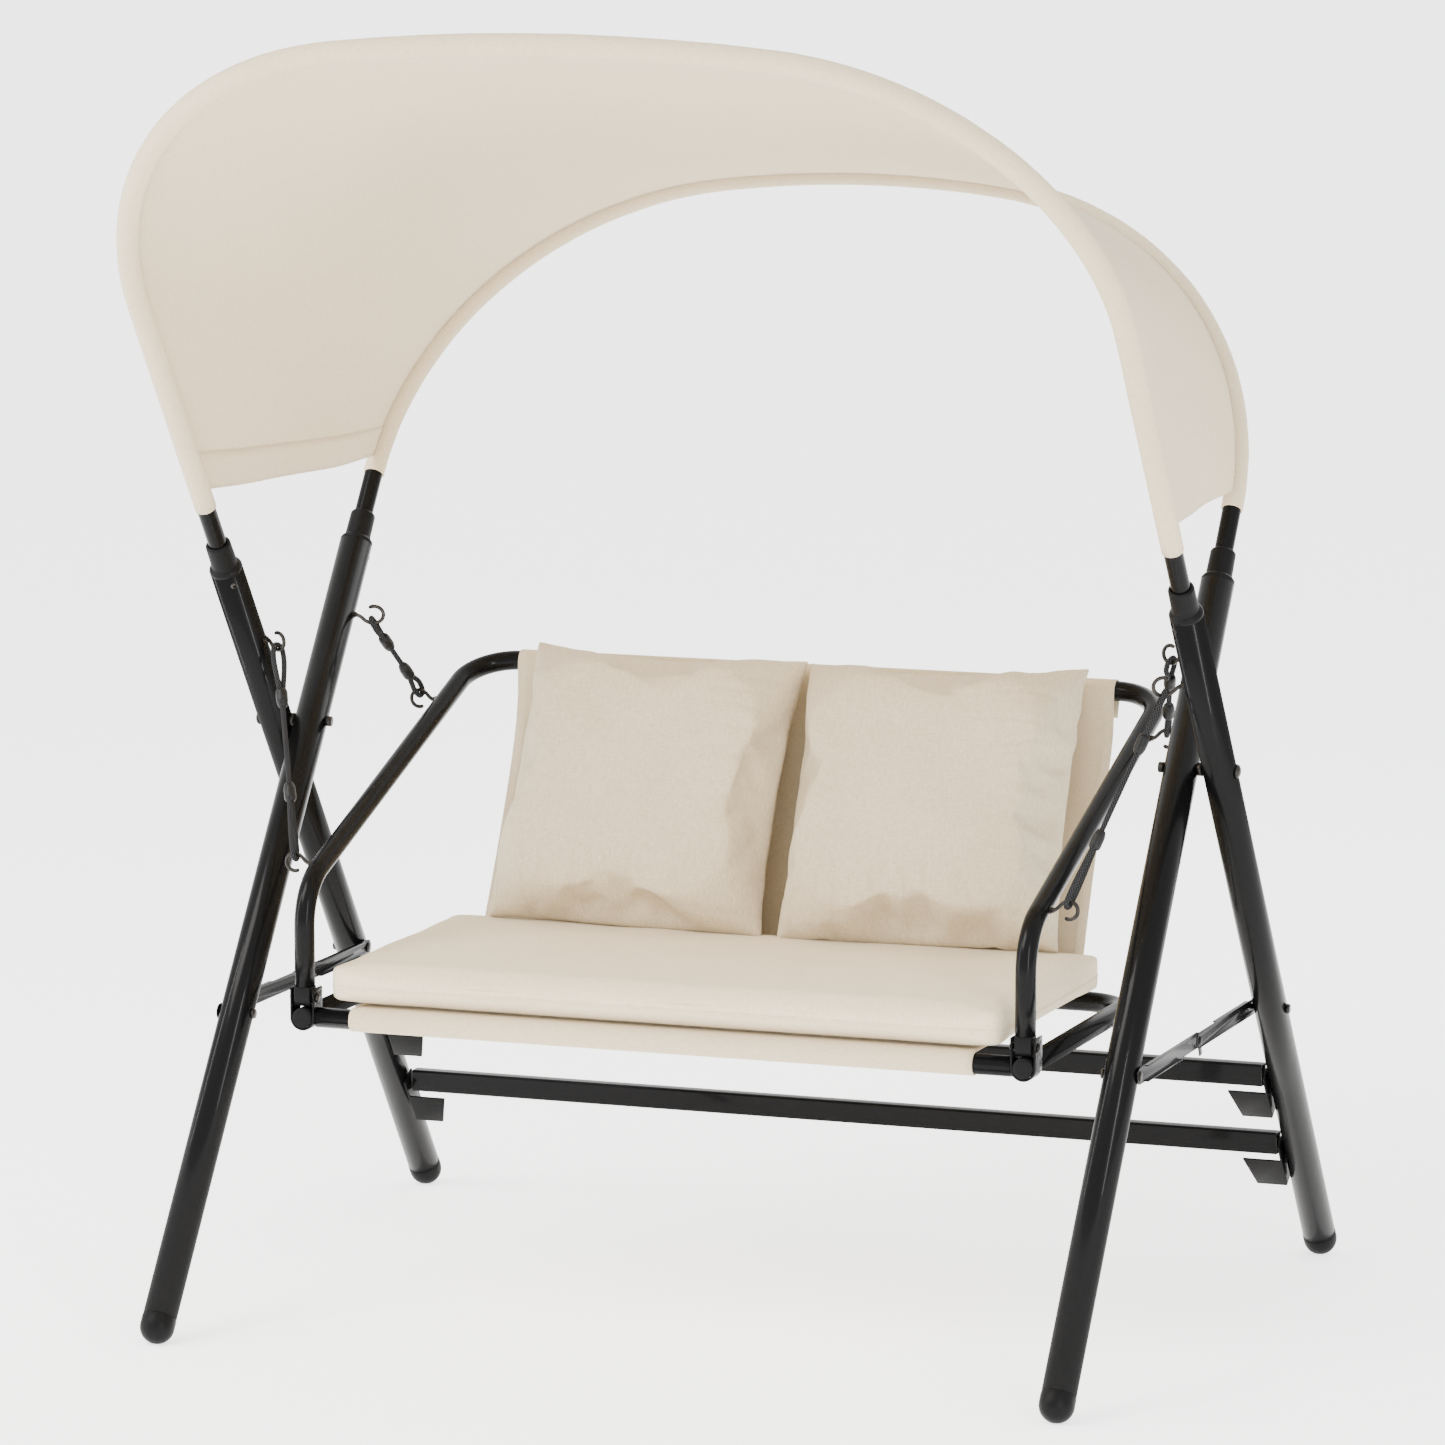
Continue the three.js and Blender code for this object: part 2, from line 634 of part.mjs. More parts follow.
for (const [side, sign] of SIDES) {
  const front = new THREE.Group();
  front.position.set(0, -strapLength, braceHeight);
  object.add(front);
  add(front, `brace_front_strap_${side}`, strap(sign * frontStrapX, sign), paint());
  const rear = new THREE.Group();
  rear.position.set(0, strapLength, braceHeight);
  rear.rotation.z = Math.PI;
  object.add(rear);
  const x0 = -sign * rearStrapX;
  const body = join(strap(x0, sign), fingerTab(x0, x0 + sign * strapThickness));
  add(rear, `brace_rear_strap_${side}`, body, paint());

  const shank = bracePin / 2;
  const webOut = frontStrapX + strapThickness + gap;
  const frontInner = frontLegX - legRadius - gap;
  const frontPin = [[frontInner - 4, 0], [frontInner - 4, 7], [frontInner, 8], [frontInner, shank],
    [webOut, shank], [webOut, 8], [webOut + 1.6, 7], [webOut + 2.4, 0]];
  add(object, `brace_front_pin_${side}`, turnedX(frontPin, 12).rotateZ(sign < 0 ? Math.PI : 0)
    .translate(0, -strapLength, braceHeight), steel());
  const webIn = rearStrapX - strapThickness - gap;
  const rearOuter = rearLegX + legRadius + gap;
  const rearPin = [[webIn - 2.4, 0], [webIn - 1.6, 7], [webIn, 8], [webIn, shank], [rearOuter, shank],
    [rearOuter, 8], [rearOuter + 4, 7], [rearOuter + 4, 0]];
  add(object, `brace_rear_pin_${side}`, turnedX(rearPin, 12).rotateZ(sign < 0 ? Math.PI : 0)
    .translate(0, strapLength, braceHeight), steel());
}

// ---------------------------------------------------------------- seat back and arms

const armCorner = new THREE.Vector3(seatSideX, armY, armCornerHeight);
const armWay = new THREE.Vector3(0, Math.cos(armSlope), Math.sin(armSlope));
const onArm = (along) => armCorner.clone().addScaledVector(armWay, along);
const backTube = onArm(armLength);
const armEnd = seatPinHeight + seatRadius + 1.5;
const mirrored = (v) => new THREE.Vector3(-v.x, v.y, v.z);

// The arm tube ends above the pin in a rounded lug that fills the tube and turns on the pin.
function armLug(sign) {
  const x = sign * seatSideX;
  const r = seatRadius - 1;
  const s = new THREE.Shape();
  s.moveTo(armY - r, seatPinHeight);
  s.absarc(armY, seatPinHeight, r, Math.PI, 2 * Math.PI);
  s.lineTo(armY + r, armEnd + 0.5);
  s.lineTo(armY - r, armEnd + 0.5);
  const tongue = plateYZ(s, x - r + 2, x + r - 2);
  const plug = turnedZ([[0, 0], [seatRadius - seatWall / 2, 0], [seatRadius - seatWall / 2, 25], [0, 25]], 12)
    .translate(x, armY, armEnd - 0.5);
  const pin = barX(x - 40, x + 40, seatPin / 2 + holeClearance, 0, 12).translate(0, armY, seatPinHeight);
  return cut(join(tongue, plug), pin);
}

const armStart = new THREE.Vector3(seatSideX, armY, armEnd);
const armPath = bentPath([armStart, armCorner, backTube, mirrored(backTube), mirrored(armCorner), mirrored(armStart)],
  [armLowerBend, armUpperBend, armUpperBend, armLowerBend], 18);
const armTube = sweep(armPath, seatRadius, seatRadius - seatWall);
const drainHole = (sign) => barX(0, seatTube, drain / 2, 0, 8).rotateZ(sign < 0 ? 0 : Math.PI)
  .translate(sign * seatSideX, armY, armEnd + 50);
add(object, 'arm_back_tube', cut(join(armTube, armLug(-1), armLug(1)), drainHole(-1), drainHole(1)), paint());

// ---------------------------------------------------------------- seat base

const seatEnd = new THREE.Vector3(seatSideX, seatFrontY + 2.3, seatTubeHeight);
const seatCorner = new THREE.Vector3(seatSideX, seatRearY, seatTubeHeight);
const seatPath = bentPath([seatEnd, seatCorner, mirrored(seatCorner), mirrored(seatEnd)],
  [seatRearBend, seatRearBend], 15);
add(object, 'seat_frame_tube', sweep(seatPath, seatRadius, seatRadius - seatWall), paint());

const bracketInner = seatRadius + bracketGap;
const bracketOuter = bracketInner + bracketPlate;
const frontTubeY = armY + 2;
add(object, 'seat_front_tube', barX(-(seatSideX - bracketOuter - gap), seatSideX - bracketOuter - gap,
  seatRadius, seatRadius - seatWall, 14).translate(0, frontTubeY, seatTubeHeight), paint());

// A saddle bracket: a U of plate round the side tube, its two ears carrying the arm's pin.
function saddle(x) {
  const s = new THREE.Shape();
  s.moveTo(-bracketOuter, bracketTop);
  s.lineTo(-bracketOuter, seatTubeHeight);
  s.absarc(0, seatTubeHeight, bracketOuter, Math.PI, 2 * Math.PI);
  s.lineTo(bracketOuter, bracketTop);
  s.lineTo(bracketInner, bracketTop);
  s.lineTo(bracketInner, seatTubeHeight);
  s.absarc(0, seatTubeHeight, bracketInner, 0, -Math.PI, true);
  s.lineTo(-bracketInner, bracketTop);
  const u = plateXZ(s, seatFrontY + 3, seatFrontY + 3 + bracketDepth, 8).translate(x, 0, 0);
  const pin = barX(x - 40, x + 40, seatPin / 2 + holeClearance, 0, 12).translate(0, armY, seatPinHeight);
  return cut(u, pin);
}

for (const [side, sign] of SIDES) {
  const x = sign * seatSideX;
  add(object, `seat_bracket_${side}`, saddle(x), paint());
  const plug = turnedZ([[0, 0], [11, 0], [13, 0.6], [seatRadius, 2], [seatRadius - seatWall - 0.8, 2],
    [seatRadius - seatWall - 0.8, 22], [0, 22]], 14).rotateX(-Math.PI / 2);
  add(object, `seat_end_plug_${side}`, plug.translate(x, seatFrontY, seatTubeHeight), plastic());
  const e = bracketOuter + gap;
  const shank = seatPin / 2;
  const profile = [[-e - 3, 0], [-e - 3, 5], [-e - 1.5, 7], [-e, 7], [-e, shank], [e, shank], [e, 7],
    [e + 1.5, 7], [e + 3, 5], [e + 3, 0]];
  add(object, `seat_pin_${side}`, turnedX(profile, 12).translate(x, armY, seatPinHeight), steel());
}

// ---------------------------------------------------------------- sling, cushion and pillows

// The cloth sling: a sleeve round the front tube, a sheet under the cushion and up the back, and a
// sleeve round the back tube.
function sling() {
  const inner = seatRadius + gap + 0.4;
  const outer = inner + slingCloth;
  const half = slingWidth / 2;
  const middle = (inner + outer) / 2;
  const front = new THREE.Vector2(frontTubeY, seatTubeHeight);
  const back = new THREE.Vector2(backTube.y, backTube.z);
  const lean = pillowLean * 0.26;
  const seatZ = seatTubeHeight + middle;
  const points = new THREE.SplineCurve([
    new THREE.Vector2(front.x, seatZ),
    new THREE.Vector2(front.x + 150, seatZ),
    new THREE.Vector2(seatRearY - 65, seatZ),
    new THREE.Vector2(seatRearY - 26, seatZ + 7),
    new THREE.Vector2(seatRearY - 6, seatZ + 29),
    new THREE.Vector2(seatRearY + 10, seatZ + 62),
    new THREE.Vector2(seatRearY + 62, seatZ + 173),
    new THREE.Vector2(seatRearY + 137, seatZ + 336),
    new THREE.Vector2(back.x - middle * Math.cos(lean), back.y + middle * Math.sin(lean)),
  ]).getPoints(28);
  const clear = (p) => p.distanceTo(front) > outer + 1 && p.distanceTo(back) > outer + 1;
  const side = (offset) => points.map((p, i) => {
    const way = points[Math.min(i + 1, points.length - 1)].clone().sub(points[Math.max(i - 1, 0)]).normalize();
    return new THREE.Vector2(p.x - way.y * offset, p.y + way.x * offset);
  }).filter(clear);
  // The outline: the sheet's upper side, round the back tube, the sheet's underside, round the front tube.
  const meet = Math.acos(inner / outer);
  const s = new THREE.Shape(side(slingCloth / 2));
  s.absarc(back.x, back.y, outer, Math.PI - lean, meet - Math.PI - lean, true);
  for (const p of side(-slingCloth / 2).reverse()) s.lineTo(p.x, p.y);
  s.absarc(front.x, front.y, outer, Math.PI / 2 - meet, -1.5 * Math.PI, true);
  const bore = (c) => barX(-half - 1, half + 1, inner, 0, 16).translate(0, c.x, c.y);
  return cut(plateYZ(s, -half, half, 8), bore(front), bore(back));
}
add(object, 'sling', sling(), cloth());

function seatCushion() {
  const s = new THREE.Shape();
  const [y0, y1, z0, z1] = [cushionFrontY, cushionRearY, cushionBottom, cushionTop];
  s.moveTo(y0 + 12, z0);
  s.lineTo(y1 - 30, z0);
  s.absarc(y1 - 30, z0 + 30, 30, -Math.PI / 2, 0);
  s.absarc(y1 - 14, z1 - 14, 14, 0, Math.PI / 2);
  s.absarc(y0 + 14, z1 - 14, 14, Math.PI / 2, Math.PI);
  s.absarc(y0 + 12, z0 + 12, 12, Math.PI, 1.5 * Math.PI);
  return plateYZ(s, -cushionWidth / 2, cushionWidth / 2, 4);
}
add(object, 'seat_cushion', seatCushion(), padding());

// A crowned square pillow, thin at its edges, lying in its own XY plane.
function pillow() {
  const n = 10;
  const rim = 6;
  const bulge = (s) => Math.sqrt(Math.max(0, 1 - Math.abs(s) ** 3.2));
  const rowsAt = (side) => Array.from({ length: n + 1 }, (_, r) => Array.from({ length: n + 1 }, (_, c) => {
    const u = Math.sin((r / n - 0.5) * Math.PI);
    const v = Math.sin((c / n - 0.5) * Math.PI);
    const swell = rim / 2 + (pillowThickness - rim) / 2 * bulge(u) * bulge(v);
    return new THREE.Vector3(u * pillowSize / 2, v * pillowSize / 2, side * swell);
  }));
  const [top, bottom] = [rowsAt(1), rowsAt(-1)];
  const points = [...top.flat(), ...bottom.flat()].flatMap((p) => p.toArray());
  const at = (layer, r, c) => layer * (n + 1) ** 2 + r * (n + 1) + c;
  const index = [];
  const quad = (a, b, c, d) => index.push(a, b, c, a, c, d);
  for (let r = 0; r < n; r++) {
    for (let c = 0; c < n; c++) {
      quad(at(0, r, c), at(0, r + 1, c), at(0, r + 1, c + 1), at(0, r, c + 1));
      quad(at(1, r, c), at(1, r, c + 1), at(1, r + 1, c + 1), at(1, r + 1, c));
    }
  }
  for (let i = 0; i < n; i++) {
    quad(at(1, i, 0), at(1, i + 1, 0), at(0, i + 1, 0), at(0, i, 0));
    quad(at(0, i, n), at(0, i + 1, n), at(1, i + 1, n), at(1, i, n));
    quad(at(0, 0, i), at(0, 0, i + 1), at(1, 0, i + 1), at(1, 0, i));
    quad(at(1, n, i), at(1, n, i + 1), at(0, n, i + 1), at(0, n, i));
  }
  const body = new THREE.BufferGeometry();
  body.setAttribute('position', new THREE.Float32BufferAttribute(points, 3));
  body.setIndex(index);
  return body;
}

for (const [side, x] of [['left', pillowLeftX], ['right', pillowRightX]]) {
  const mesh = add(object, `pillow_${side}`, pillow(), padding());
  mesh.position.set(x, pillowY, pillowHeight);
  mesh.rotation.x = Math.PI / 2 - pillowLean;
}

// ---------------------------------------------------------------- hooks and ropes

// An open hook of bent wire. It leaves its tube along X, dips, and bends round to an open tip.
// way: +1 outward, -1 inward along X; up: -1 hangs a rope, +1 holds one that pulls up;
// pull: the horizontal Y direction that the bend turns towards, or 0.
function hookPath(face, way, up, pull) {
  const slope = Math.tan(hookTurn) * pull;
  const flat = [[0.6, 0], [5, 0], [11, 3.5], [17, 9.5]];
  for (let a = 245; a <= 480; a += 23.5) {
    const t = a * Math.PI / 180;
    flat.push([hookReach + hookRadius * Math.cos(t), 1 - hookRadius * Math.sin(t)]);
  }
  return smoothPath(flat.map(([u, w]) => new THREE.Vector3(
    face.x + way * u, face.y + slope * Math.max(0, u - 5), face.z + up * w)), 1);
}

// Centre of the wire where the rope bears on it.
function bearing(face, way, up, pull) {
  const slope = Math.tan(hookTurn) * pull;
  return new THREE.Vector3(face.x + way * hookReach, face.y + slope * (hookReach - 5),
    face.z + up * (hookRadius + 1));
}

const onLeg = (lean, rise) => new THREE.Vector3(0, -lean * rise * Math.sin(legAngle),
  pivotHeight + rise * Math.cos(legAngle));

// One spliced rope from the wire at a to the wire at b: an eye, a crimped neck, a single rope, a
// crimped neck and an eye. axisA and axisB are the directions of the wires inside the eyes.
function rope(a, b, axisA, axisB, eyeA, eyeB) {
  const r = ropeDiameter / 2;
  const down = b.clone().sub(a).normalize();
  const bend = hookWire / 2 + r + eyeSlack;
  const eye = (centre, axis, way, length) => {
    const side = axis.clone().cross(way).normalize();
    const out = way.clone().multiplyScalar(-1);
    const at = (s, o) => centre.clone().addScaledVector(side, s).addScaledVector(way, o);
    const right = [at(0, length + crimpLength / 2), at(3, length), at(bend + 1, length * 0.35)];
    const left = [at(-bend - 1, length * 0.35), at(-3, length), at(0, length + crimpLength / 2)];
    const round = [0, 45, 90, 135, 180].map((deg) => {
      const t = deg * Math.PI / 180;
      return centre.clone().addScaledVector(side, bend * Math.cos(t)).addScaledVector(out, bend * Math.sin(t));
    });
    return sweep(smoothPath([...right, ...round, ...left], 1), r, 0, 6);
  };
  const crimp = (centre, way, length) => {
    const R = crimpDiameter / 2;
    const barrel = turnedZ([[0, 0], [R * 0.75, 0], [R, 4], [R, crimpLength - 6], [R * 0.6, crimpLength],
      [0, crimpLength]], 10);
    barrel.applyQuaternion(new THREE.Quaternion().setFromUnitVectors(new THREE.Vector3(0, 0, 1), way));
    return barrel.translate(...centre.clone().addScaledVector(way, length).toArray());
  };
  const up = down.clone().multiplyScalar(-1);
  const single = bentPath([a.clone().addScaledVector(down, eyeA + 4), b.clone().addScaledVector(up, eyeB + 4)], []);
  return join(sweep(single, r, 0, 8), eye(a, axisA, down, eyeA), eye(b, axisB, up, eyeB),
    crimp(a, down, eyeA), crimp(b, up, eyeB));
}

for (const [side, sign] of SIDES) {
  const armFace = (along) => onArm(along).setX(sign * (seatSideX + seatRadius));
  for (const [end, lean, faceX, rise, along, eyes] of [
    ['front', 1, rearLegFace, frontHookRise, frontArmHook, [frontUpperEye, frontLowerEye]],
    ['rear', -1, frontLegX - legRadius, rearHookRise, rearArmHook, [rearEye, rearEye]],
  ]) {
    const top = onLeg(lean, rise).setX(sign * faceX);
    const low = armFace(along);
    const wire = (path) => sweep(path, hookWire / 2, 0, 6);
    add(object, `${end}_top_hook_${side}`, wire(hookPath(top, -sign, -1, -lean)), steel());
    add(object, `${end}_arm_hook_${side}`, wire(hookPath(low, sign, 1, 0)), steel());
    const wireWay = new THREE.Vector3(-sign, -lean * Math.tan(hookTurn), 0).normalize();
    const ropeBody = rope(bearing(top, -sign, -1, -lean), bearing(low, sign, 1, 0), wireWay, X, eyes[0], eyes[1]);
    add(object, `${end}_rope_${side}`, ropeBody, cord());
  }
}

// ---------------------------------------------------------------- origin

// The origin stands on the floor under the middle of the object's box.
object.updateMatrixWorld(true);
const extent = new THREE.Box3().setFromObject(object);
object.position.y = -(extent.min.y + extent.max.y) / 2;

export default object;
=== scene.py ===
import json
import math

import bmesh
import bpy
import numpy as np
from mathutils import Matrix, Vector, noise
from mathutils.bvhtree import BVHTree


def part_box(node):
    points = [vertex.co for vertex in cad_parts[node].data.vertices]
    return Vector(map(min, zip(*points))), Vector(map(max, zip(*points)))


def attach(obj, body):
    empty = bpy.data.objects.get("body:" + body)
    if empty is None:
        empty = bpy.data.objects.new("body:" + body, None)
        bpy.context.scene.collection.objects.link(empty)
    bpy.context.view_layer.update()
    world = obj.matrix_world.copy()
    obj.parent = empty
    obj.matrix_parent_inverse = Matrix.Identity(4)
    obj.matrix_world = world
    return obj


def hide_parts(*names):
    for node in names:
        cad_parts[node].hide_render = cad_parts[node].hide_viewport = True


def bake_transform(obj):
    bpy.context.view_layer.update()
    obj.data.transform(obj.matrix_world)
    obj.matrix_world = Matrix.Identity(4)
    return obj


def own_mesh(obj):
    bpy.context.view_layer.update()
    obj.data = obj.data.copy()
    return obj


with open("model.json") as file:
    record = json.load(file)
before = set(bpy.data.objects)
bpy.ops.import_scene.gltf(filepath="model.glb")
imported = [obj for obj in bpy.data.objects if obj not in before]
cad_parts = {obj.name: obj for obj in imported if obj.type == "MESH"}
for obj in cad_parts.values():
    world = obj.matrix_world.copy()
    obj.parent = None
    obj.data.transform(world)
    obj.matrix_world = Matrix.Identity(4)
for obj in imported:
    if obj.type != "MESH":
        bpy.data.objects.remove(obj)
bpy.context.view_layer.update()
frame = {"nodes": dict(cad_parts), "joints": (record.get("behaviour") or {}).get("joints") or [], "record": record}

# ---------------------------------------------------------------- driving dimensions (metres)

LEG_R = 0.025
FOOT_R = 0.0255
FOOT_COLLAR = 0.014
SOCKET_R = 0.019
SOCKET_LENGTH = 0.047
BOW_R = 0.014
BOW_INSERT = 0.060
LEG_TOP_RISE = 0.253
FRONT_BOW = {"top": 1.310, "corner": 0.480, "crown": 2.500}
REAR_BOW = {"top": 0.985, "corner": 0.540, "crown": 1.500}    # the CAD's corners are 0.560
SLEEVE_R = 0.0162
SLEEVE_START = 0.428
HEM_START = 0.462
SEAT_R = 0.015
ARM_CORNER_Z = 0.638
ARM_SLOPE = math.radians(20.4)
ARM_LENGTH = 0.721
ARM_LOWER_BEND = 0.085
ARM_UPPER_BEND = 0.075
SEAT_REAR_BEND = 0.070
HOOK_WIRE_R = 0.00225          # the CAD wire, which the ropes' eyes clear
HOOK_SHOWN_R = 0.0029          # drawn thicker than the CAD wire
HOOK_R = 0.013
HOOK_REACH = 0.028
HOOK_TURN = math.radians(30)
HOOK_SHANK = 0.005             # straight part before the hook turns aside
HOOK_DROP = 0.001
NUT_STANDS_OFF = 0.0004
ROPE_R = 0.004
CRIMP_R = 0.009
CRIMP_LENGTH = 0.030
EYE_SLACK = 0.0025
EYE_NECK = 0.004               # rope hidden in each crimp
FRONT_HOOK_RISE = 0.1658
REAR_HOOK_RISE = 0.183
FRONT_ARM_HOOK = 0.070
REAR_ARM_HOOK = 0.5825
FRONT_TUBE_Y = -0.325
SEAT_REAR_Y = 0.185
SLING_WIDTH = 0.960
SHEET_THICKNESS = 0.0014
HEM_LIFT = 0.0016
CANOPY_SAG = 0.014
STITCH_PITCH = 0.0045
STITCH_LENGTH = 0.0032
THREAD_R = 0.00035
SEAM_DROP = 0.10
PILLOW_SIZE = 0.438
PILLOW_LEAN = math.radians(25.2)
PILLOW_SET_BACK = 0.030
PILLOW_FRONT = 0.092           # how far it swells before and behind its rim
PILLOW_BACK = 0.036
PILLOW_TWIST = {"left": math.radians(-1.2), "right": math.radians(1.5)}

CAMERA_AZIMUTH = math.radians(20.20)
CAMERA_PITCH = math.radians(8.47)
CAMERA_DISTANCE = 10.56
CAMERA_LENS = 178.1

# ---------------------------------------------------------------- places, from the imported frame

joint = {j["name"]: j for j in frame["joints"]}
SIDES = (("left", -1), ("right", 1))
X = Vector((1, 0, 0))


def joint_at(name):
    return Vector(joint[name]["pos_m"])


def centre(node):
    low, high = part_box(node)
    return (low + high) / 2


pivot = joint_at("frame_fold")
rear_leg_x = centre("rear_foot_right").x
front_leg_x = centre("front_foot_right").x
mounts = {m["name"]: m for m in frame["record"]["mounts"]}
foot_place = mounts["rear_foot_right"]["pos_m"]
FOOT_CENTRE_Z = FOOT_R - 0.001
leg_angle = math.atan2(foot_place[1] - pivot.y, pivot.z - FOOT_CENTRE_Z)
leg_drop = (pivot.z - FOOT_CENTRE_Z) / math.cos(leg_angle)
leg_rise = LEG_TOP_RISE / math.cos(leg_angle)
bow_foot = leg_rise + SOCKET_LENGTH - BOW_INSERT
seat_x = centre("seat_pin_right").x
seat_z = centre("seat_front_tube").z
front_tube_y = centre("seat_front_tube").y
arm_y = centre("seat_pin_right").y
canopy_hub = (0, pivot.y, pivot.z + LEG_TOP_RISE)


def on_leg(lean, x, along, off=0.0):
    """A point on a leg's line: lean +1 for the rear-footed legs, which lean forward, -1 for the others.
    off moves it square to the leg, towards the front and down for lean +1."""
    s, c = math.sin(leg_angle), math.cos(leg_angle)
    return Vector((x, pivot.y - lean * (along * s + off * c), pivot.z + along * c - off * s))


def leg_way(lean):
    return Vector((0, -lean * math.sin(leg_angle), math.cos(leg_angle)))


# ---------------------------------------------------------------- camera, floor and light

def make_camera():
    target = Vector((-0.021, pivot.y - 0.003, 0.865))
    a, p = CAMERA_AZIMUTH, CAMERA_PITCH
    back = Vector((math.sin(a) * math.cos(p), -math.cos(a) * math.cos(p), math.sin(p)))
    data = bpy.data.cameras.new("camera")
    data.lens = CAMERA_LENS
    data.sensor_width = 36
    camera = bpy.data.objects.new("camera", data)
    camera.location = target + back * CAMERA_DISTANCE
    camera.rotation_euler = (math.pi / 2 - p, 0, a)
    bpy.context.collection.objects.link(camera)
    bpy.context.scene.camera = camera


def area_light(name, at, look, size, power, color=(1, 1, 1)):
    data = bpy.data.lights.new(name, "AREA")
    data.shape = "RECTANGLE"
    data.size, data.size_y = size
    data.energy = power
    data.color = color
    light = bpy.data.objects.new(name, data)
    light.location = at
    light.rotation_euler = (Vector(look) - Vector(at)).to_track_quat("-Z", "Y").to_euler()
    bpy.context.collection.objects.link(light)


def make_stage():
    bpy.ops.mesh.primitive_plane_add(size=600)
    floor = bpy.context.object
    floor.name = "floor"
    material = bpy.data.materials.new("floor")
    material.use_nodes = True
    shader = material.node_tree.nodes["Principled BSDF"]
    shader.inputs["Base Color"].default_value = (0.93, 0.93, 0.93, 1)
    shader.inputs["Roughness"].default_value = 0.9
    shader.inputs["Specular IOR Level"].default_value = 0.1
    shader.inputs["Emission Color"].default_value = (1, 1, 1, 1)
    shader.inputs["Emission Strength"].default_value = 1.9
    floor.data.materials.append(material)
    world = bpy.data.worlds.new("studio")
    world.use_nodes = True
    world.node_tree.nodes["Background"].inputs["Color"].default_value = (1.0, 0.995, 0.985, 1)
    world.node_tree.nodes["Background"].inputs["Strength"].default_value = 1.9
    bpy.context.scene.world = world
    area_light("key", (-3.2, -3.6, 5.2), (0, 0, 0.9), (3.0, 3.0), 420, (1, 0.98, 0.95))
    area_light("strip_right", (4.0, -4.2, 2.2), (0, 0, 1.0), (0.35, 3.6), 170)
    area_light("strip_left", (-4.4, -2.0, 1.8), (0, 0, 1.0), (0.3, 3.4), 110)
    area_light("rear", (0.5, 4.5, 3.4), (0, 0, 1.2), (3.0, 2.0), 60)


# ---------------------------------------------------------------- materials

class Nodes:
    """A short way to write a procedural material."""

    def __init__(self, name, color, roughness, metallic=0.0, **sockets):
        self.material = bpy.data.materials.new(name)
        self.material.use_nodes = True
        self.tree = self.material.node_tree
        self.shader = self.tree.nodes["Principled BSDF"]
        self.set(self.shader, "Base Color", (*color, 1))
        self.set(self.shader, "Roughness", roughness)
        self.set(self.shader, "Metallic", metallic)
        for socket, value in sockets.items():
            self.set(self.shader, socket.replace("_", " "), value)

    def set(self, node, socket, value):
        node.inputs[socket].default_value = value

    def link(self, source, node, socket):
        self.tree.links.new(source, node.inputs[socket])

    def coordinates(self, kind="Object", scale=(1, 1, 1), turn=(0, 0, 0)):
        where = self.tree.nodes.new("ShaderNodeTexCoord")
        mapping = self.tree.nodes.new("ShaderNodeMapping")
        mapping.inputs["Scale"].default_value = scale
        mapping.inputs["Rotation"].default_value = turn
        self.link(where.outputs[kind], mapping, "Vector")
        return mapping.outputs["Vector"]

    def noise(self, vector, scale, detail=3.0, roughness=0.55):
        n = self.tree.nodes.new("ShaderNodeTexNoise")
        self.set(n, "Scale", scale)
        self.set(n, "Detail", detail)
        self.set(n, "Roughness", roughness)
        self.link(vector, n, "Vector")
        return n.outputs["Fac"]

    def wave(self, vector, scale, direction="X", distortion=0.0):
        w = self.tree.nodes.new("ShaderNodeTexWave")
        w.bands_direction = direction
        w.wave_profile = "SIN"
        self.set(w, "Scale", scale)
        self.set(w, "Distortion", distortion)
        self.set(w, "Detail", 1.0)
        self.link(vector, w, "Vector")
        return w.outputs["Fac"]

    def math(self, kind, a, b):
        m = self.tree.nodes.new("ShaderNodeMath")
        m.operation = kind
        for socket, value in ((0, a), (1, b)):
            if isinstance(value, (int, float)):
                m.inputs[socket].default_value = value
            else:
                self.tree.links.new(value, m.inputs[socket])
        return m.outputs[0]

    def ramp(self, value, stops):
        r = self.tree.nodes.new("ShaderNodeValToRGB")
        elements = r.color_ramp.elements
        while len(elements) < len(stops):
            elements.new(0.5)
        for element, (place, color) in zip(elements, stops):
            element.position = place
            element.color = (*color, 1) if hasattr(color, "__len__") else (color, color, color, 1)
        self.link(value, r, "Fac")
        return r.outputs["Color"]

    def bump(self, height, distance, strength=1.0, after=None):
        b = self.tree.nodes.new("ShaderNodeBump")
        self.set(b, "Distance", distance)
        self.set(b, "Strength", strength)
        self.link(height, b, "Height")
        if after is not None:
            self.link(after, b, "Normal")
        return b.outputs["Normal"]


def powder_coat():
    """Glossy black powder coat: a faint orange-peel surface, and duller dust in patches."""
    n = Nodes("powder_coat", (0.003, 0.003, 0.0033), 0.3, 0.0, Coat_Weight=0.07, Coat_Roughness=0.05,
              Specular_IOR_Level=0.05)
    at = n.coordinates()
    peel = n.noise(at, 420, 2.0)
    patches = n.noise(at, 9, 4.0)
    n.link(n.ramp(patches, [(0.3, 0.22), (0.75, 0.28)]), n.shader, "Roughness")
    grain = n.noise(at, 1400, 1.0)
    n.link(n.ramp(grain, [(0.3, (0.0025, 0.0025, 0.0028)), (0.8, (0.0045, 0.0044, 0.0042))]),
           n.shader, "Base Color")
    n.link(n.bump(peel, 0.00025, 0.35), n.shader, "Normal")
    return n.material


def moulded_plastic():
    n = Nodes("moulded_plastic", (0.004, 0.004, 0.0042), 0.42, 0.0, Specular_IOR_Level=0.08)
    at = n.coordinates()
    n.link(n.ramp(n.noise(at, 14, 3.0), [(0.3, 0.38), (0.7, 0.55)]), n.shader, "Roughness")
    n.link(n.bump(n.noise(at, 2200, 2.0), 0.00012, 0.5), n.shader, "Normal")
    return n.material


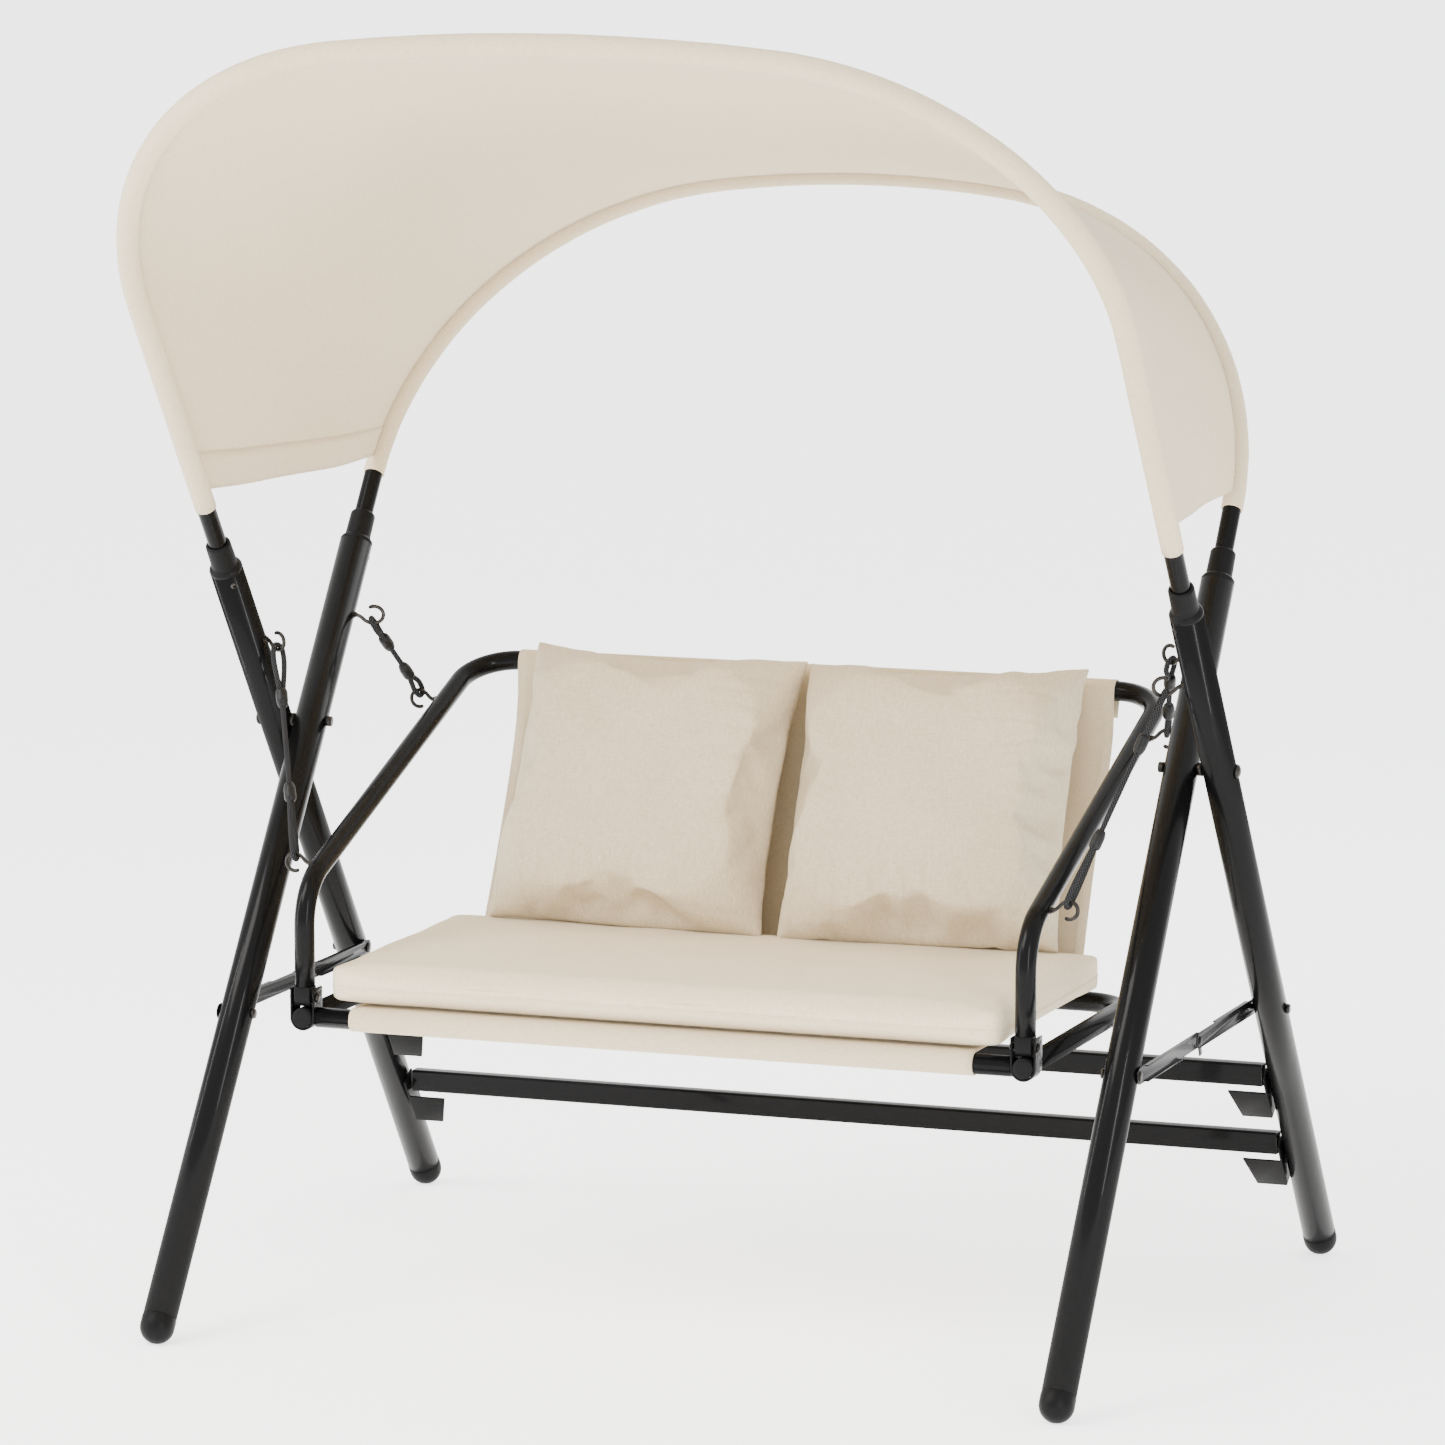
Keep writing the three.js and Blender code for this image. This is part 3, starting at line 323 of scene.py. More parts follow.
def dark_zinc():
    """Hooks, bolts and pins: steel darkened to a brown black, rubbed brighter in places."""
    n = Nodes("dark_zinc", (0.05, 0.045, 0.04), 0.32, 0.85)
    at = n.coordinates()
    rubbed = n.noise(at, 90, 4.0)
    n.link(n.ramp(rubbed, [(0.35, (0.012, 0.011, 0.010)), (0.75, (0.045, 0.040, 0.036))]),
           n.shader, "Base Color")
    n.link(n.ramp(n.noise(at, 260, 3.0), [(0.3, 0.26), (0.7, 0.45)]), n.shader, "Roughness")
    n.link(n.bump(n.noise(at, 900, 2.0), 0.0001, 0.4), n.shader, "Normal")
    return n.material


def braided_rope():
    """A 16-plait cover in dark grey yarn, drawn along each rope by its own UV map."""
    n = Nodes("braided_rope", (0.05, 0.05, 0.052), 0.85, 0.0, Specular_IOR_Level=0.1)
    right = n.wave(n.coordinates("UV", (1, 1, 1), (0, 0, math.radians(38))), 95, "X")
    left = n.wave(n.coordinates("UV", (1, 1, 1), (0, 0, math.radians(-38))), 95, "X")
    plait = n.math("MULTIPLY", right, left)
    fibre = n.noise(n.coordinates(), 1500, 2.0)
    # painted shade: the yarn is coloured near black in the grooves between the plaits, where the bump is low
    n.link(n.ramp(plait, [(0.05, (0.006, 0.006, 0.0065)), (0.6, (0.05, 0.05, 0.052))]),
           n.shader, "Base Color")
    n.link(n.bump(fibre, 0.0002, 0.4, n.bump(plait, 0.0012, 0.9)), n.shader, "Normal")
    return n.material


def shrink_sleeve():
    n = Nodes("shrink_sleeve", (0.005, 0.005, 0.005), 0.42, 0.0, Specular_IOR_Level=0.2)
    at = n.coordinates()
    n.link(n.bump(n.noise(at, 320, 3.0), 0.0006, 0.5), n.shader, "Normal")
    n.link(n.ramp(n.noise(at, 60, 2.0), [(0.3, 0.34), (0.7, 0.52)]), n.shader, "Roughness")
    return n.material


def woven_cloth(name, light, dark, coordinates="UV", thread=850, sheen=0.15):
    """Woven cloth of mixed yarns: slubs run both ways, over a fine plain weave."""
    n = Nodes(name, light, 0.92, 0.0, Sheen_Weight=sheen, Sheen_Roughness=0.6, Specular_IOR_Level=0.2)
    warp = n.noise(n.coordinates(coordinates, (1.0, 9.0, 9.0)), 95, 2.0)
    weft = n.noise(n.coordinates(coordinates, (9.0, 1.0, 1.0)), 95, 2.0)
    cloudy = n.noise(n.coordinates(coordinates), 2.2, 3.0)
    slubs = n.math("ADD", n.math("MULTIPLY", warp, 0.5), n.math("MULTIPLY", weft, 0.5))
    tone = n.math("ADD", n.math("MULTIPLY", slubs, 0.8), n.math("MULTIPLY", cloudy, 0.2))
    n.link(n.ramp(tone, [(0.36, dark), (0.62, light)]), n.shader, "Base Color")
    over = n.wave(n.coordinates(coordinates), thread, "X")
    under = n.wave(n.coordinates(coordinates), thread, "Y")
    weave = n.math("ADD", over, under)
    n.link(n.bump(slubs, 0.0006, 0.5, n.bump(weave, 0.0003, 0.45)), n.shader, "Normal")
    return n.material


def sewing_thread():
    n = Nodes("sewing_thread", (0.80, 0.75, 0.64), 0.6, 0.0, Sheen_Weight=0.3)
    n.link(n.bump(n.noise(n.coordinates(), 2500, 1.0), 0.0002, 0.5), n.shader, "Normal")
    return n.material


# ---------------------------------------------------------------- mesh helpers

def new_object(name, vertices, faces, material, uvs=None, smooth=True):
    mesh = bpy.data.meshes.new(name)
    mesh.from_pydata([tuple(v) for v in vertices], [], faces)
    mesh.update()
    if uvs is not None:
        layer = mesh.uv_layers.new(name="UVMap")
        for polygon in mesh.polygons:
            for k, loop in enumerate(polygon.loop_indices):
                layer.data[loop].uv = uvs[polygon.index][k]
    mesh.polygons.foreach_set("use_smooth", [smooth] * len(mesh.polygons))
    mesh.materials.append(material)
    made = bpy.data.objects.new(name, mesh)
    bpy.context.collection.objects.link(made)
    return made


def smooth_faces(piece):
    piece.data.polygons.foreach_set("use_smooth", [True] * len(piece.data.polygons))


def points_of(mesh):
    return np.array([v.co[:] for v in mesh.vertices])


def move_points(piece, points):
    piece.data.vertices.foreach_set("co", points.ravel())
    piece.data.update()


def apply_modifier(piece, modifier):
    bpy.context.view_layer.objects.active = piece
    bpy.ops.object.modifier_apply(modifier=modifier.name)


def ring_faces(rings, sides, base=0):
    """The quads between successive rings of points, the first ring beginning at base."""
    faces = []
    for i in range(rings - 1):
        low, high = base + i * sides, base + (i + 1) * sides
        for k in range(sides):
            n = (k + 1) % sides
            faces.append((low + k, low + n, high + n, high + k))
    return faces


def place(piece, body, slot, *nodes):
    """The last step for each piece: what it rides on, and the CAD nodes it stands for, which it hides. Its finish,
    the slot argument, is not used.
    """
    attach(piece, body)
    if nodes:
        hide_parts(*nodes)
    return piece


def join(name, pieces):
    """One object of several, under one name, keeping their materials and UV maps."""
    bpy.ops.object.select_all(action="DESELECT")
    for p in pieces:
        p.select_set(True)
    bpy.context.view_layer.objects.active = pieces[0]
    bpy.ops.object.join()
    pieces[0].name = name
    return pieces[0]


def arc_points(before, corner, after, radius, step):
    """The rounded corner between two straight runs, with a point each step of turn."""
    u = (corner - before).normalized()
    v = (after - corner).normalized()
    turn = u.angle(v)
    axis = u.cross(v).normalized()
    start = corner - u * radius * math.tan(turn / 2)
    hub = start + axis.cross(u) * radius
    count = max(2, round(turn / step))
    return [hub + Matrix.Rotation(turn * k / count, 3, axis) @ (start - hub) for k in range(count + 1)]


def bent(corners, radii, step=math.radians(4)):
    """A centre line through corners, each rounded to its radius."""
    points = [corners[0]]
    for i, radius in enumerate(radii, 1):
        points += arc_points(corners[i - 1], corners[i], corners[i + 1], radius, step)
    return points + [corners[-1]]


def arch(half_width, foot_at, top, corner, crown, step=math.radians(3)):
    """A bow's centre line in its own plane, as (x, along) pairs: sides, corner arcs and a flatter crown."""
    lean = math.asin((half_width - corner) / (crown - corner))
    corner_at = top - crown + (crown - corner) * math.cos(lean)
    points = []
    if foot_at < corner_at:
        points += [(-half_width, a) for a in np.linspace(foot_at, corner_at, 12, endpoint=False)]
    sweep_angle = math.pi / 2 - lean
    count = round(sweep_angle / step)
    for k in range(count + 1):
        t = sweep_angle * k / count
        points.append((-(half_width - corner) - corner * math.cos(t), corner_at + corner * math.sin(t)))
    for t in np.linspace(-lean, lean, 10)[1:-1]:
        points.append((crown * math.sin(t), top - crown + crown * math.cos(t)))
    left = [p for p in points if p[0] < -1e-6]
    points = left + [(-x, a) for x, a in reversed(left)]
    return [p for p in points if p[1] >= foot_at - 1e-9]


def arch_start(points, foot_at):
    """The same arch with its two ends moved exactly to foot_at."""
    if abs(points[0][1] - foot_at) < 1e-4:
        return points
    return [(points[0][0], foot_at), *points, (points[-1][0], foot_at)]


def frames(points):
    """A tangent and a side for each point, with no twist from one to the next."""
    tangents = []
    for i in range(len(points)):
        a, b = points[max(i - 1, 0)], points[min(i + 1, len(points) - 1)]
        tangents.append((b - a).normalized())
    first = tangents[0]
    side = first.orthogonal().normalized()
    made = [(first, side)]
    for t in tangents[1:]:
        side = (side - t * side.dot(t)).normalized()
        made.append((t, side))
    return made


def pipe(name, points, radius, material, sides=32, closed_ends=True, wobble=None):
    """A round tube along points. radius is a number, or a list with one for each point."""
    radii = radius if hasattr(radius, "__len__") else [radius] * len(points)
    vertices, uvs = [], []
    along = [0.0]
    for a, b in zip(points, points[1:]):
        along.append(along[-1] + (b - a).length)
    for (tangent, side), point, r in zip(frames(points), points, radii):
        other = tangent.cross(side)
        for k in range(sides):
            t = 2 * math.pi * k / sides
            out = side * math.cos(t) + other * math.sin(t)
            spot = point + out * r
            vertices.append(spot + out * wobble(spot) if wobble else spot)
    girth = 2 * math.pi * max(radii)
    faces = ring_faces(len(points), sides)
    for i in range(len(points) - 1):
        for k in range(sides):
            u0, u1 = girth * k / sides, girth * (k + 1) / sides
            uvs.append([(u0, along[i]), (u1, along[i]), (u1, along[i + 1]), (u0, along[i + 1])])
    if closed_ends:
        last = (len(points) - 1) * sides
        faces.append(tuple(reversed(range(sides))))
        faces.append(tuple(range(last, last + sides)))
        uvs += [[(0, 0)] * sides, [(0, 0)] * sides]
    return new_object(name, vertices, faces, material, uvs)


def turned(name, profile, at, way, material, sides=40):
    """A lathe piece: (radius, along) pairs about the axis through at, along way. Ends on the axis."""
    side = way.orthogonal().normalized()
    other = way.cross(side)
    vertices = []
    for r, a in profile:
        for k in range(sides):
            t = 2 * math.pi * k / sides
            vertices.append(at + way * a + (side * math.cos(t) + other * math.sin(t)) * r)
    piece = new_object(name, vertices, ring_faces(len(profile), sides), material)
    b = bmesh.new()
    b.from_mesh(piece.data)
    bmesh.ops.remove_doubles(b, verts=b.verts, dist=1e-6)
    bmesh.ops.recalc_face_normals(b, faces=b.faces)
    b.to_mesh(piece.data)
    b.free()
    return sharpen(piece)


def sharpen(piece, angle=38):
    """Smooth shading that keeps edges sharper than the angle."""
    smooth_faces(piece)
    piece.data.set_sharp_from_angle(angle=math.radians(angle))
    return piece


def rounded(corner_radius, steps, *corners):
    """A lathe profile with its listed corners eased by small arcs."""
    out = [corners[0]]
    for before, corner, after in zip(corners, corners[1:], corners[2:]):
        a, c, b = (np.array(p, float) for p in (before, corner, after))
        r = min(corner_radius, np.linalg.norm(a - c) / 2, np.linalg.norm(b - c) / 2)
        start = c + (a - c) / np.linalg.norm(a - c) * r
        end = c + (b - c) / np.linalg.norm(b - c) * r
        for k in range(steps + 1):
            t = k / steps
            out.append(tuple((1 - t) ** 2 * start + 2 * t * (1 - t) * c + t * t * end))
    return out + [corners[-1]]


def button_head(name, at, out, radius, material):
    """A domed screw head with a hexagon socket."""
    dome = [(radius * math.cos(t), radius * 0.55 * math.sin(t))
            for t in np.linspace(0, math.pi / 2 - 0.5, 7)]
    socket = radius * 0.42
    top = dome[-1][1]
    depth = top - radius * 0.4
    profile = [(0.0, -0.002), (radius, -0.002), *dome, (socket, top), (socket, depth), (0.0, depth)]
    return turned(name, profile, at, out, material, 24)


paint = powder_coat()
plastic = moulded_plastic()
zinc = dark_zinc()
rope_cover = braided_rope()
sleeve_black = shrink_sleeve()
canopy_cloth = woven_cloth("canopy_cloth", (0.70, 0.575, 0.385), (0.54, 0.44, 0.285))
sling_cloth = woven_cloth("sling_cloth", (0.70, 0.575, 0.385), (0.54, 0.44, 0.285))
pad_cloth = woven_cloth("pad_cloth", (0.81, 0.68, 0.465), (0.66, 0.545, 0.365), "Object", 700)
pillow_cloth = woven_cloth("pillow_cloth", (0.69, 0.575, 0.395), (0.48, 0.395, 0.26), "Object", 700)
thread = sewing_thread()


# ---------------------------------------------------------------- legs

def make_leg(pair, lean, body, x, side, sign):
    name = f"{pair}_leg_{side}"
    low = on_leg(lean, x, -leg_drop + FOOT_COLLAR + 0.0004)
    high = on_leg(lean, x, leg_rise - 0.006)
    leg = pipe(f"{name}_tube", [low, low.lerp(high, 0.5), high], LEG_R, paint, 48)
    place(leg, body, "paint", name)

    dome = [(FOOT_R * math.sin(t), -FOOT_R * math.cos(t)) for t in np.linspace(0, math.pi / 2, 14)]
    cap = dome + [(FOOT_R, FOOT_COLLAR - 0.0015), (FOOT_R - 0.0008, FOOT_COLLAR), (0.0, FOOT_COLLAR)]
    foot_cap = turned(f"{pair}_foot_cap_{side}", cap, on_leg(lean, x, -leg_drop), leg_way(lean),
                      plastic, 48)
    for v in foot_cap.data.vertices:
        v.co.z = max(v.co.z, 0.0)
    place(foot_cap, body, "plastic", f"{pair}_foot_{side}")

    neck = leg_rise + SOCKET_LENGTH
    profile = rounded(0.0012, 3, (0.0, leg_rise - 0.0055), (LEG_R, leg_rise - 0.0055),
                      (LEG_R, leg_rise - 0.001), (LEG_R - 0.003, leg_rise + 0.003),
                      (SOCKET_R + 0.0006, leg_rise + 0.0045),
                      (SOCKET_R, neck - 0.003), (SOCKET_R - 0.0025, neck), (BOW_R + 0.0006, neck),
                      (BOW_R + 0.0006, neck - 0.004), (0.0, neck - 0.004))
    socket = turned(f"{pair}_bow_socket_{side}", profile, on_leg(lean, x, 0), leg_way(lean), plastic, 48)
    place(socket, body, "plastic", f"{pair}_leg_socket_{side}")

    out = Vector((-sign * 0.62, -lean * 0.78 * math.cos(leg_angle), -0.78 * math.sin(leg_angle)))
    out = out.normalized()
    at = on_leg(lean, x, leg_rise - 0.020) + out * LEG_R
    screw = button_head(f"{pair}_leg_screw_{side}", at, out, 0.0052, zinc)
    place(screw, body, "fastener")


def bow_points(lean, x, bow, foot_at):
    flat = arch_start(arch(x, foot_at, **bow), foot_at)
    return [on_leg(lean, px, along) for px, along in flat]


def make_bow(end, lean, body, x, bow):
    tube = pipe(f"{end}_bow_tube", bow_points(lean, x, bow, bow_foot), BOW_R, paint, 32)
    place(tube, body, "paint", f"{end}_bow")
    points = bow_points(lean, x, bow, SLEEVE_START)
    ripple = lambda p: 0.0004 * noise.noise(p * 28) + 0.00025 * noise.noise(p * 90)
    sleeve = pipe(f"{end}_cloth_sleeve", points, SLEEVE_R, canopy_cloth, 32, True, ripple)
    place(sleeve, body, "canopy_fabric", f"{end}_bow_sleeve")
    return points


# ---------------------------------------------------------------- cloth sheets

def resample(points, count):
    """count + 1 points at equal distances along a line."""
    p = np.array([tuple(v) for v in points])
    along = np.concatenate([[0], np.cumsum(np.linalg.norm(np.diff(p, axis=0), axis=1))])
    want = np.linspace(0, along[-1], count + 1)
    return np.stack([np.interp(want, along, p[:, k]) for k in range(3)], axis=1)


def sheet_object(name, rows, material):
    """A sheet through a grid of points rows[r][c], with real thickness and a metric UV map."""
    R, C = rows.shape[:2]
    vertices = rows.reshape(-1, 3)
    across = np.cumsum(np.linalg.norm(np.diff(rows, axis=1), axis=2), axis=1)
    down = np.cumsum(np.linalg.norm(np.diff(rows, axis=0), axis=2), axis=0)
    u = np.concatenate([np.zeros((R, 1)), across], axis=1)
    u -= u.mean(axis=1, keepdims=True)
    v = np.concatenate([np.zeros((1, C)), down], axis=0)
    faces, uvs = [], []
    for r in range(R - 1):
        for c in range(C - 1):
            ring = ((r, c), (r, c + 1), (r + 1, c + 1), (r + 1, c))
            faces.append(tuple(i * C + j for i, j in ring))
            uvs.append([(u[i, j], v[i, j]) for i, j in ring])
    piece = new_object(name, vertices, faces, material, uvs)
    solid = piece.modifiers.new("thickness", "SOLIDIFY")
    solid.thickness = SHEET_THICKNESS
    solid.offset = 0
    apply_modifier(piece, solid)
    return piece


def stitches(name, points, out, pitch=STITCH_PITCH, length=STITCH_LENGTH):
    """Separate stitches along a line of points, each a short five-sided thread lying on the cloth."""
    run = np.linalg.norm(np.diff(np.array(points), axis=0), axis=1).sum()
    line = resample(points, max(2, round(run / pitch)))
    vertices, faces = [], []
    for a, b in zip(line, line[1:]):
        way = (b - a) / np.linalg.norm(b - a)
        o = np.array(out(Vector(a)))
        side = np.cross(way, o)
        mid = (a + b) / 2
        base = len(vertices)
        for part, lift in ((-0.5, -0.4), (-0.2, 0.6), (0.2, 0.6), (0.5, -0.4)):
            spot = mid + way * length * part
            for k in range(5):
                t = 2 * math.pi * k / 5
                vertices.append(spot + o * THREAD_R * (lift + math.cos(t)) + side * THREAD_R * math.sin(t))
        faces += ring_faces(4, 5, base)
        faces.append(tuple(base + k for k in reversed(range(5))))
        faces.append(tuple(base + 15 + k for k in range(5)))
    return new_object(name, vertices, faces, thread)


def canopy_rows():
    """The canopy between the bows: straight threads from front to rear, drawn in a little by tension, with
    shallow creases that run in from the bows' corners."""
    columns, count = 150, 60
    front = resample(bow_points(1, rear_leg_x, FRONT_BOW, HEM_START), columns)
    rear = resample(bow_points(-1, front_leg_x, REAR_BOW, HEM_START), columns)
    hub = np.array(canopy_hub)
    clear = SLEEVE_R + 0.0008
    rows = np.zeros((count + 1, columns + 1, 3))
    for c in range(columns + 1):
        along_front = front[min(c + 1, columns)] - front[max(c - 1, 0)]
        along_rear = rear[min(c + 1, columns)] - rear[max(c - 1, 0)]
        way = (rear[c] - front[c]) / np.linalg.norm(rear[c] - front[c])
        slant = lambda along: np.linalg.norm(np.cross(along / np.linalg.norm(along), way))
        start = front[c] + way * clear / slant(along_front)
        end = rear[c] - way * clear / slant(along_rear)
        for r in range(count + 1):
            t = r / count
            p = start * (1 - t) + end * t
            inward = (hub - p) / np.linalg.norm(hub - p)
            sag = CANOPY_SAG * 4 * t * (1 - t)
            u = c / columns
            crease = noise.noise(Vector((u * 26, t * 1.6, 0.3))) * 0.0022 * 4 * t * (1 - t)
            near_hem = math.exp(-min(u, 1 - u) * 30)
            flutter = near_hem * 0.004 * math.sin(t * 9.0 + 1.0) * 4 * t * (1 - t)
            rows[r, c] = p + inward * (sag + crease + flutter)
    return rows


def make_canopy():
    rows = canopy_rows()
    sheet = sheet_object("canopy_cloth_sheet", rows, canopy_cloth)
    hub = Vector(canopy_hub)
    hems = []
    for edge, at in (("left", 0), ("right", -1)):
        band = hem_band(f"canopy_hem_{edge}", rows, at)
        seam = stitches(f"canopy_hem_stitches_{edge}", rows[:, 4 if at == 0 else -5],
                        lambda p: (hub - p).normalized())
        for v in seam.data.vertices:
            v.co += (hub - v.co).normalized() * HEM_LIFT
        hems += [band, seam]
    for piece in (sheet, *hems):
        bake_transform(piece)
    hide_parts("canopy_sheet")


def hem_band(name, rows, at):
    """The hem: the sheet's edge folded back on its inner side, 24 mm deep."""
    hub = np.array(canopy_hub)
    columns = range(5) if at == 0 else range(-5, 0)
    strip = np.array([[row[c] for c in columns] for row in rows])
    inward = hub - strip
    inward /= np.linalg.norm(inward, axis=2, keepdims=True)
    return sheet_object(name, strip + inward * HEM_LIFT, canopy_cloth)


# ---------------------------------------------------------------- seat frame and arms

def make_seat_frame():
    back = arm_point(ARM_LENGTH)
    corner = Vector((seat_x, arm_y, ARM_CORNER_Z))
    start = Vector((seat_x, arm_y, centre("seat_pin_right").z + 0.0165))
    mirror = lambda v: Vector((-v.x, v.y, v.z))
    line = bent([start, corner, back, mirror(back), mirror(corner), mirror(start)],
                [ARM_LOWER_BEND, ARM_UPPER_BEND, ARM_UPPER_BEND, ARM_LOWER_BEND])
    tube = pipe("arm_and_back_tube", line, SEAT_R, paint, 40)
    tube = join("arm_and_back_tube", [tube] + [arm_lug(sign) for _, sign in SIDES])
    place(tube, "seat_back", "paint", "arm_back_tube")

    low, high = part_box("seat_frame_tube")
    front = Vector((seat_x, low.y, seat_z))
    rear = Vector((seat_x, high.y - SEAT_R, seat_z))
    line = bent([front, rear, mirror(rear), mirror(front)], [SEAT_REAR_BEND, SEAT_REAR_BEND])
    place(pipe("seat_side_and_rear_tube", line, SEAT_R, paint, 40), "seat_base", "paint", "seat_frame_tube")

    low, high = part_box("seat_front_tube")
    ends = [Vector((low.x, front_tube_y, seat_z)), Vector((high.x, front_tube_y, seat_z))]
    place(pipe("seat_front_cross_tube", ends, SEAT_R, paint, 40), "seat_base", "paint", "seat_front_tube")

    for side, sign in SIDES:
        low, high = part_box(f"seat_end_plug_{side}")
        at = Vector((sign * seat_x, low.y, seat_z))
        profile = rounded(0.0012, 4, (0.0, 0.0), (0.0105, 0.0), (0.0148, 0.0012), (SEAT_R, 0.0030),
                          (0.0, 0.0030))
        plug = turned(f"seat_tube_plug_{side}", profile, at, Vector((0, 1, 0)), plastic)
        place(plug, "seat_base", "plastic", f"seat_end_plug_{side}")


def arm_point(along):
    return Vector((seat_x, arm_y + along * math.cos(ARM_SLOPE), ARM_CORNER_Z + along * math.sin(ARM_SLOPE)))


def arm_lug(sign):
    """The moulded end of an arm: a rounded tongue on the pin, under a collar that plugs the tube."""
    pin = centre("seat_pin_right")
    radius, half = 0.0138, 0.0125
    outline = [(radius * math.cos(t), radius * math.sin(t)) for t in np.linspace(math.pi, 2 * math.pi, 20)]
    outline += [(radius, 0.0165), (-radius, 0.0165)]
    vertices = [(sign * seat_x + s * half, pin.y + y, pin.z + z) for s in (-1, 1) for y, z in outline]
    count = len(outline)
    faces = [tuple(range(count)), tuple(reversed(range(count, 2 * count)))]
    faces += [(k, count + k, count + (k + 1) % count, (k + 1) % count) for k in range(count)]
    lug = new_object("arm_lug", vertices, faces, plastic)
    b = bmesh.new()
    b.from_mesh(lug.data)
    bmesh.ops.recalc_face_normals(b, faces=b.faces)
    bmesh.ops.bevel(b, geom=[e for e in b.edges if e.calc_face_angle(0) > 0.8], offset=0.0022, segments=3,
                    affect="EDGES", profile=0.5)
    b.to_mesh(lug.data)
    b.free()
    return sharpen(lug)


# ---------------------------------------------------------------- hooks and ropes

def spline(points, steps):
    """A smooth line through the points."""
    p = [points[0] * 2 - points[1], *points, points[-1] * 2 - points[-2]]
    out = []
    for i in range(1, len(p) - 2):
        for k in range(steps):
            t = k / steps
            a, b, c, d = p[i - 1:i + 3]
            out.append(0.5 * ((2 * b) + (c - a) * t + (2 * a - 5 * b + 4 * c - d) * t * t
                              + (3 * b - a - 3 * c + d) * t ** 3))
    return out + [points[-1]]


def hook_points(face, way, up, pull):
    """The hook's wire: it leaves its tube along X, dips, and bends round to an open tip."""
    slope = math.tan(HOOK_TURN) * pull
    flat = [(0.0006, 0), (HOOK_SHANK, 0), (0.011, 0.0035), (0.017, 0.0095)]
    for a in np.arange(245, 481, 23.5):
        t = math.radians(a)
        flat.append((HOOK_REACH + HOOK_R * math.cos(t), HOOK_DROP - HOOK_R * math.sin(t)))
    return [Vector((face.x + way * u, face.y + slope * max(0, u - HOOK_SHANK), face.z + up * w))
            for u, w in flat]


def bearing(face, way, up, pull):
    """Where a rope's eye bears on the hook's wire."""
    slope = math.tan(HOOK_TURN) * pull
    return Vector((face.x + way * HOOK_REACH, face.y + slope * (HOOK_REACH - HOOK_SHANK),
                   face.z + up * (HOOK_R + HOOK_DROP)))


def make_hook(name, body, face, way, up, pull):
    line = spline(hook_points(face, way, up, pull), 6)
    radii = [HOOK_SHOWN_R] * (len(line) - 3) + [HOOK_SHOWN_R * k for k in (0.96, 0.8, 0.45)]
    wire = pipe(f"{name}_wire", line, radii, zinc, 16)
    nut = hex_nut(f"{name}_nut", face + X * way * NUT_STANDS_OFF, X * way)
    place(join(f"{name}_wire", [wire, nut]), body, "fastener", name)


def hex_nut(name, at, way):
    flat = rounded(0.0003, 2, (0.0, 0.0), (0.0062, 0.0), (0.0062, 0.0011), (0.0, 0.0011))
    washer = turned(f"{name}_washer", flat, at, way, zinc, 28)
    hexagon = rounded(0.0003, 2, (0.0, 0.0011), (0.0046, 0.0011), (0.0046, 0.0046), (0.0038, 0.0052),
                      (0.0, 0.0052))
    return join(name, [turned(name, hexagon, at, way, zinc, 6), washer])


def eye_points(at, axis, way, length):
    """A rope's eye: round the hook's wire and back to the neck."""
    bend = HOOK_WIRE_R + ROPE_R + EYE_SLACK
    side = axis.cross(way).normalized()
    spot = lambda s, o: at + side * s + way * o
    right = [spot(0.0022, length + CRIMP_LENGTH / 2), spot(0.0036, length),
             spot(bend + 0.001, length * 0.35)]
    left = [spot(-bend - 0.001, length * 0.35), spot(-0.0036, length),
            spot(-0.0022, length + CRIMP_LENGTH / 2)]
    round_wire = [at + side * bend * math.cos(t) - way * bend * math.sin(t)
                  for t in np.linspace(0, math.pi, 5)]
    return spline([*right, *round_wire, *left], 6)


def make_rope(name, body, a, b, axis_a, axis_b, eyes):
    """A rope from bearing a to bearing b, with an eye and a crimped sleeve at each end."""
    down, length = (b - a).normalized(), (b - a).length
    first, last = (eyes[0] + EYE_NECK) / length, 1 - (eyes[1] + EYE_NECK) / length
    strand = [a.lerp(b, t) for t in np.linspace(first, last, 24)]
    R, L = CRIMP_R, CRIMP_LENGTH
    profile = rounded(0.0016, 4, (0.0, 0.0), (R * 0.82, 0.0), (R, 0.005), (R, L - 0.010),
                      (R * 0.80, L - 0.003), (R * 0.58, L), (0.0, L))
    pieces = [pipe(f"{name}_strand", strand, ROPE_R, rope_cover, 20)]
    for at, axis, way, eye in ((a, axis_a, down, eyes[0]), (b, axis_b, -down, eyes[1])):
        pieces.append(pipe(f"{name}_eye", eye_points(at, axis, way, eye), ROPE_R, rope_cover, 16))
        pieces.append(turned(f"{name}_crimp", profile, at + way * eye, way, sleeve_black, 32))
    place(join(f"{name}_laid", pieces), body, "rope", name)


def make_suspension():
    for side, sign in SIDES:
        for end, lean, face_x, rise, arm_hook, top_body, arm_body, rope_body, eyes in (
            ("front", 1, rear_leg_x - LEG_R, FRONT_HOOK_RISE, FRONT_ARM_HOOK, "rear_leg_frame",
             "front_arm_hooks", "front_ropes", (0.064, 0.084)),
            ("rear", -1, front_leg_x - LEG_R, REAR_HOOK_RISE, REAR_ARM_HOOK, "rear_top_hooks",
             "seat_back", "rear_ropes", (0.030, 0.030)),
        ):
            top = on_leg(lean, sign * face_x, rise)
            low = arm_point(arm_hook)
            low.x = sign * (seat_x + SEAT_R)
            make_hook(f"{end}_top_hook_{side}", top_body, top, -sign, -1, -lean)
            make_hook(f"{end}_arm_hook_{side}", arm_body, low, sign, 1, 0)
            wire_way = Vector((-sign, -lean * math.tan(HOOK_TURN), 0)).normalized()
            make_rope(f"{end}_rope_{side}", rope_body, bearing(top, -sign, -1, -lean),
                      bearing(low, sign, 1, 0), wire_way, X, eyes)


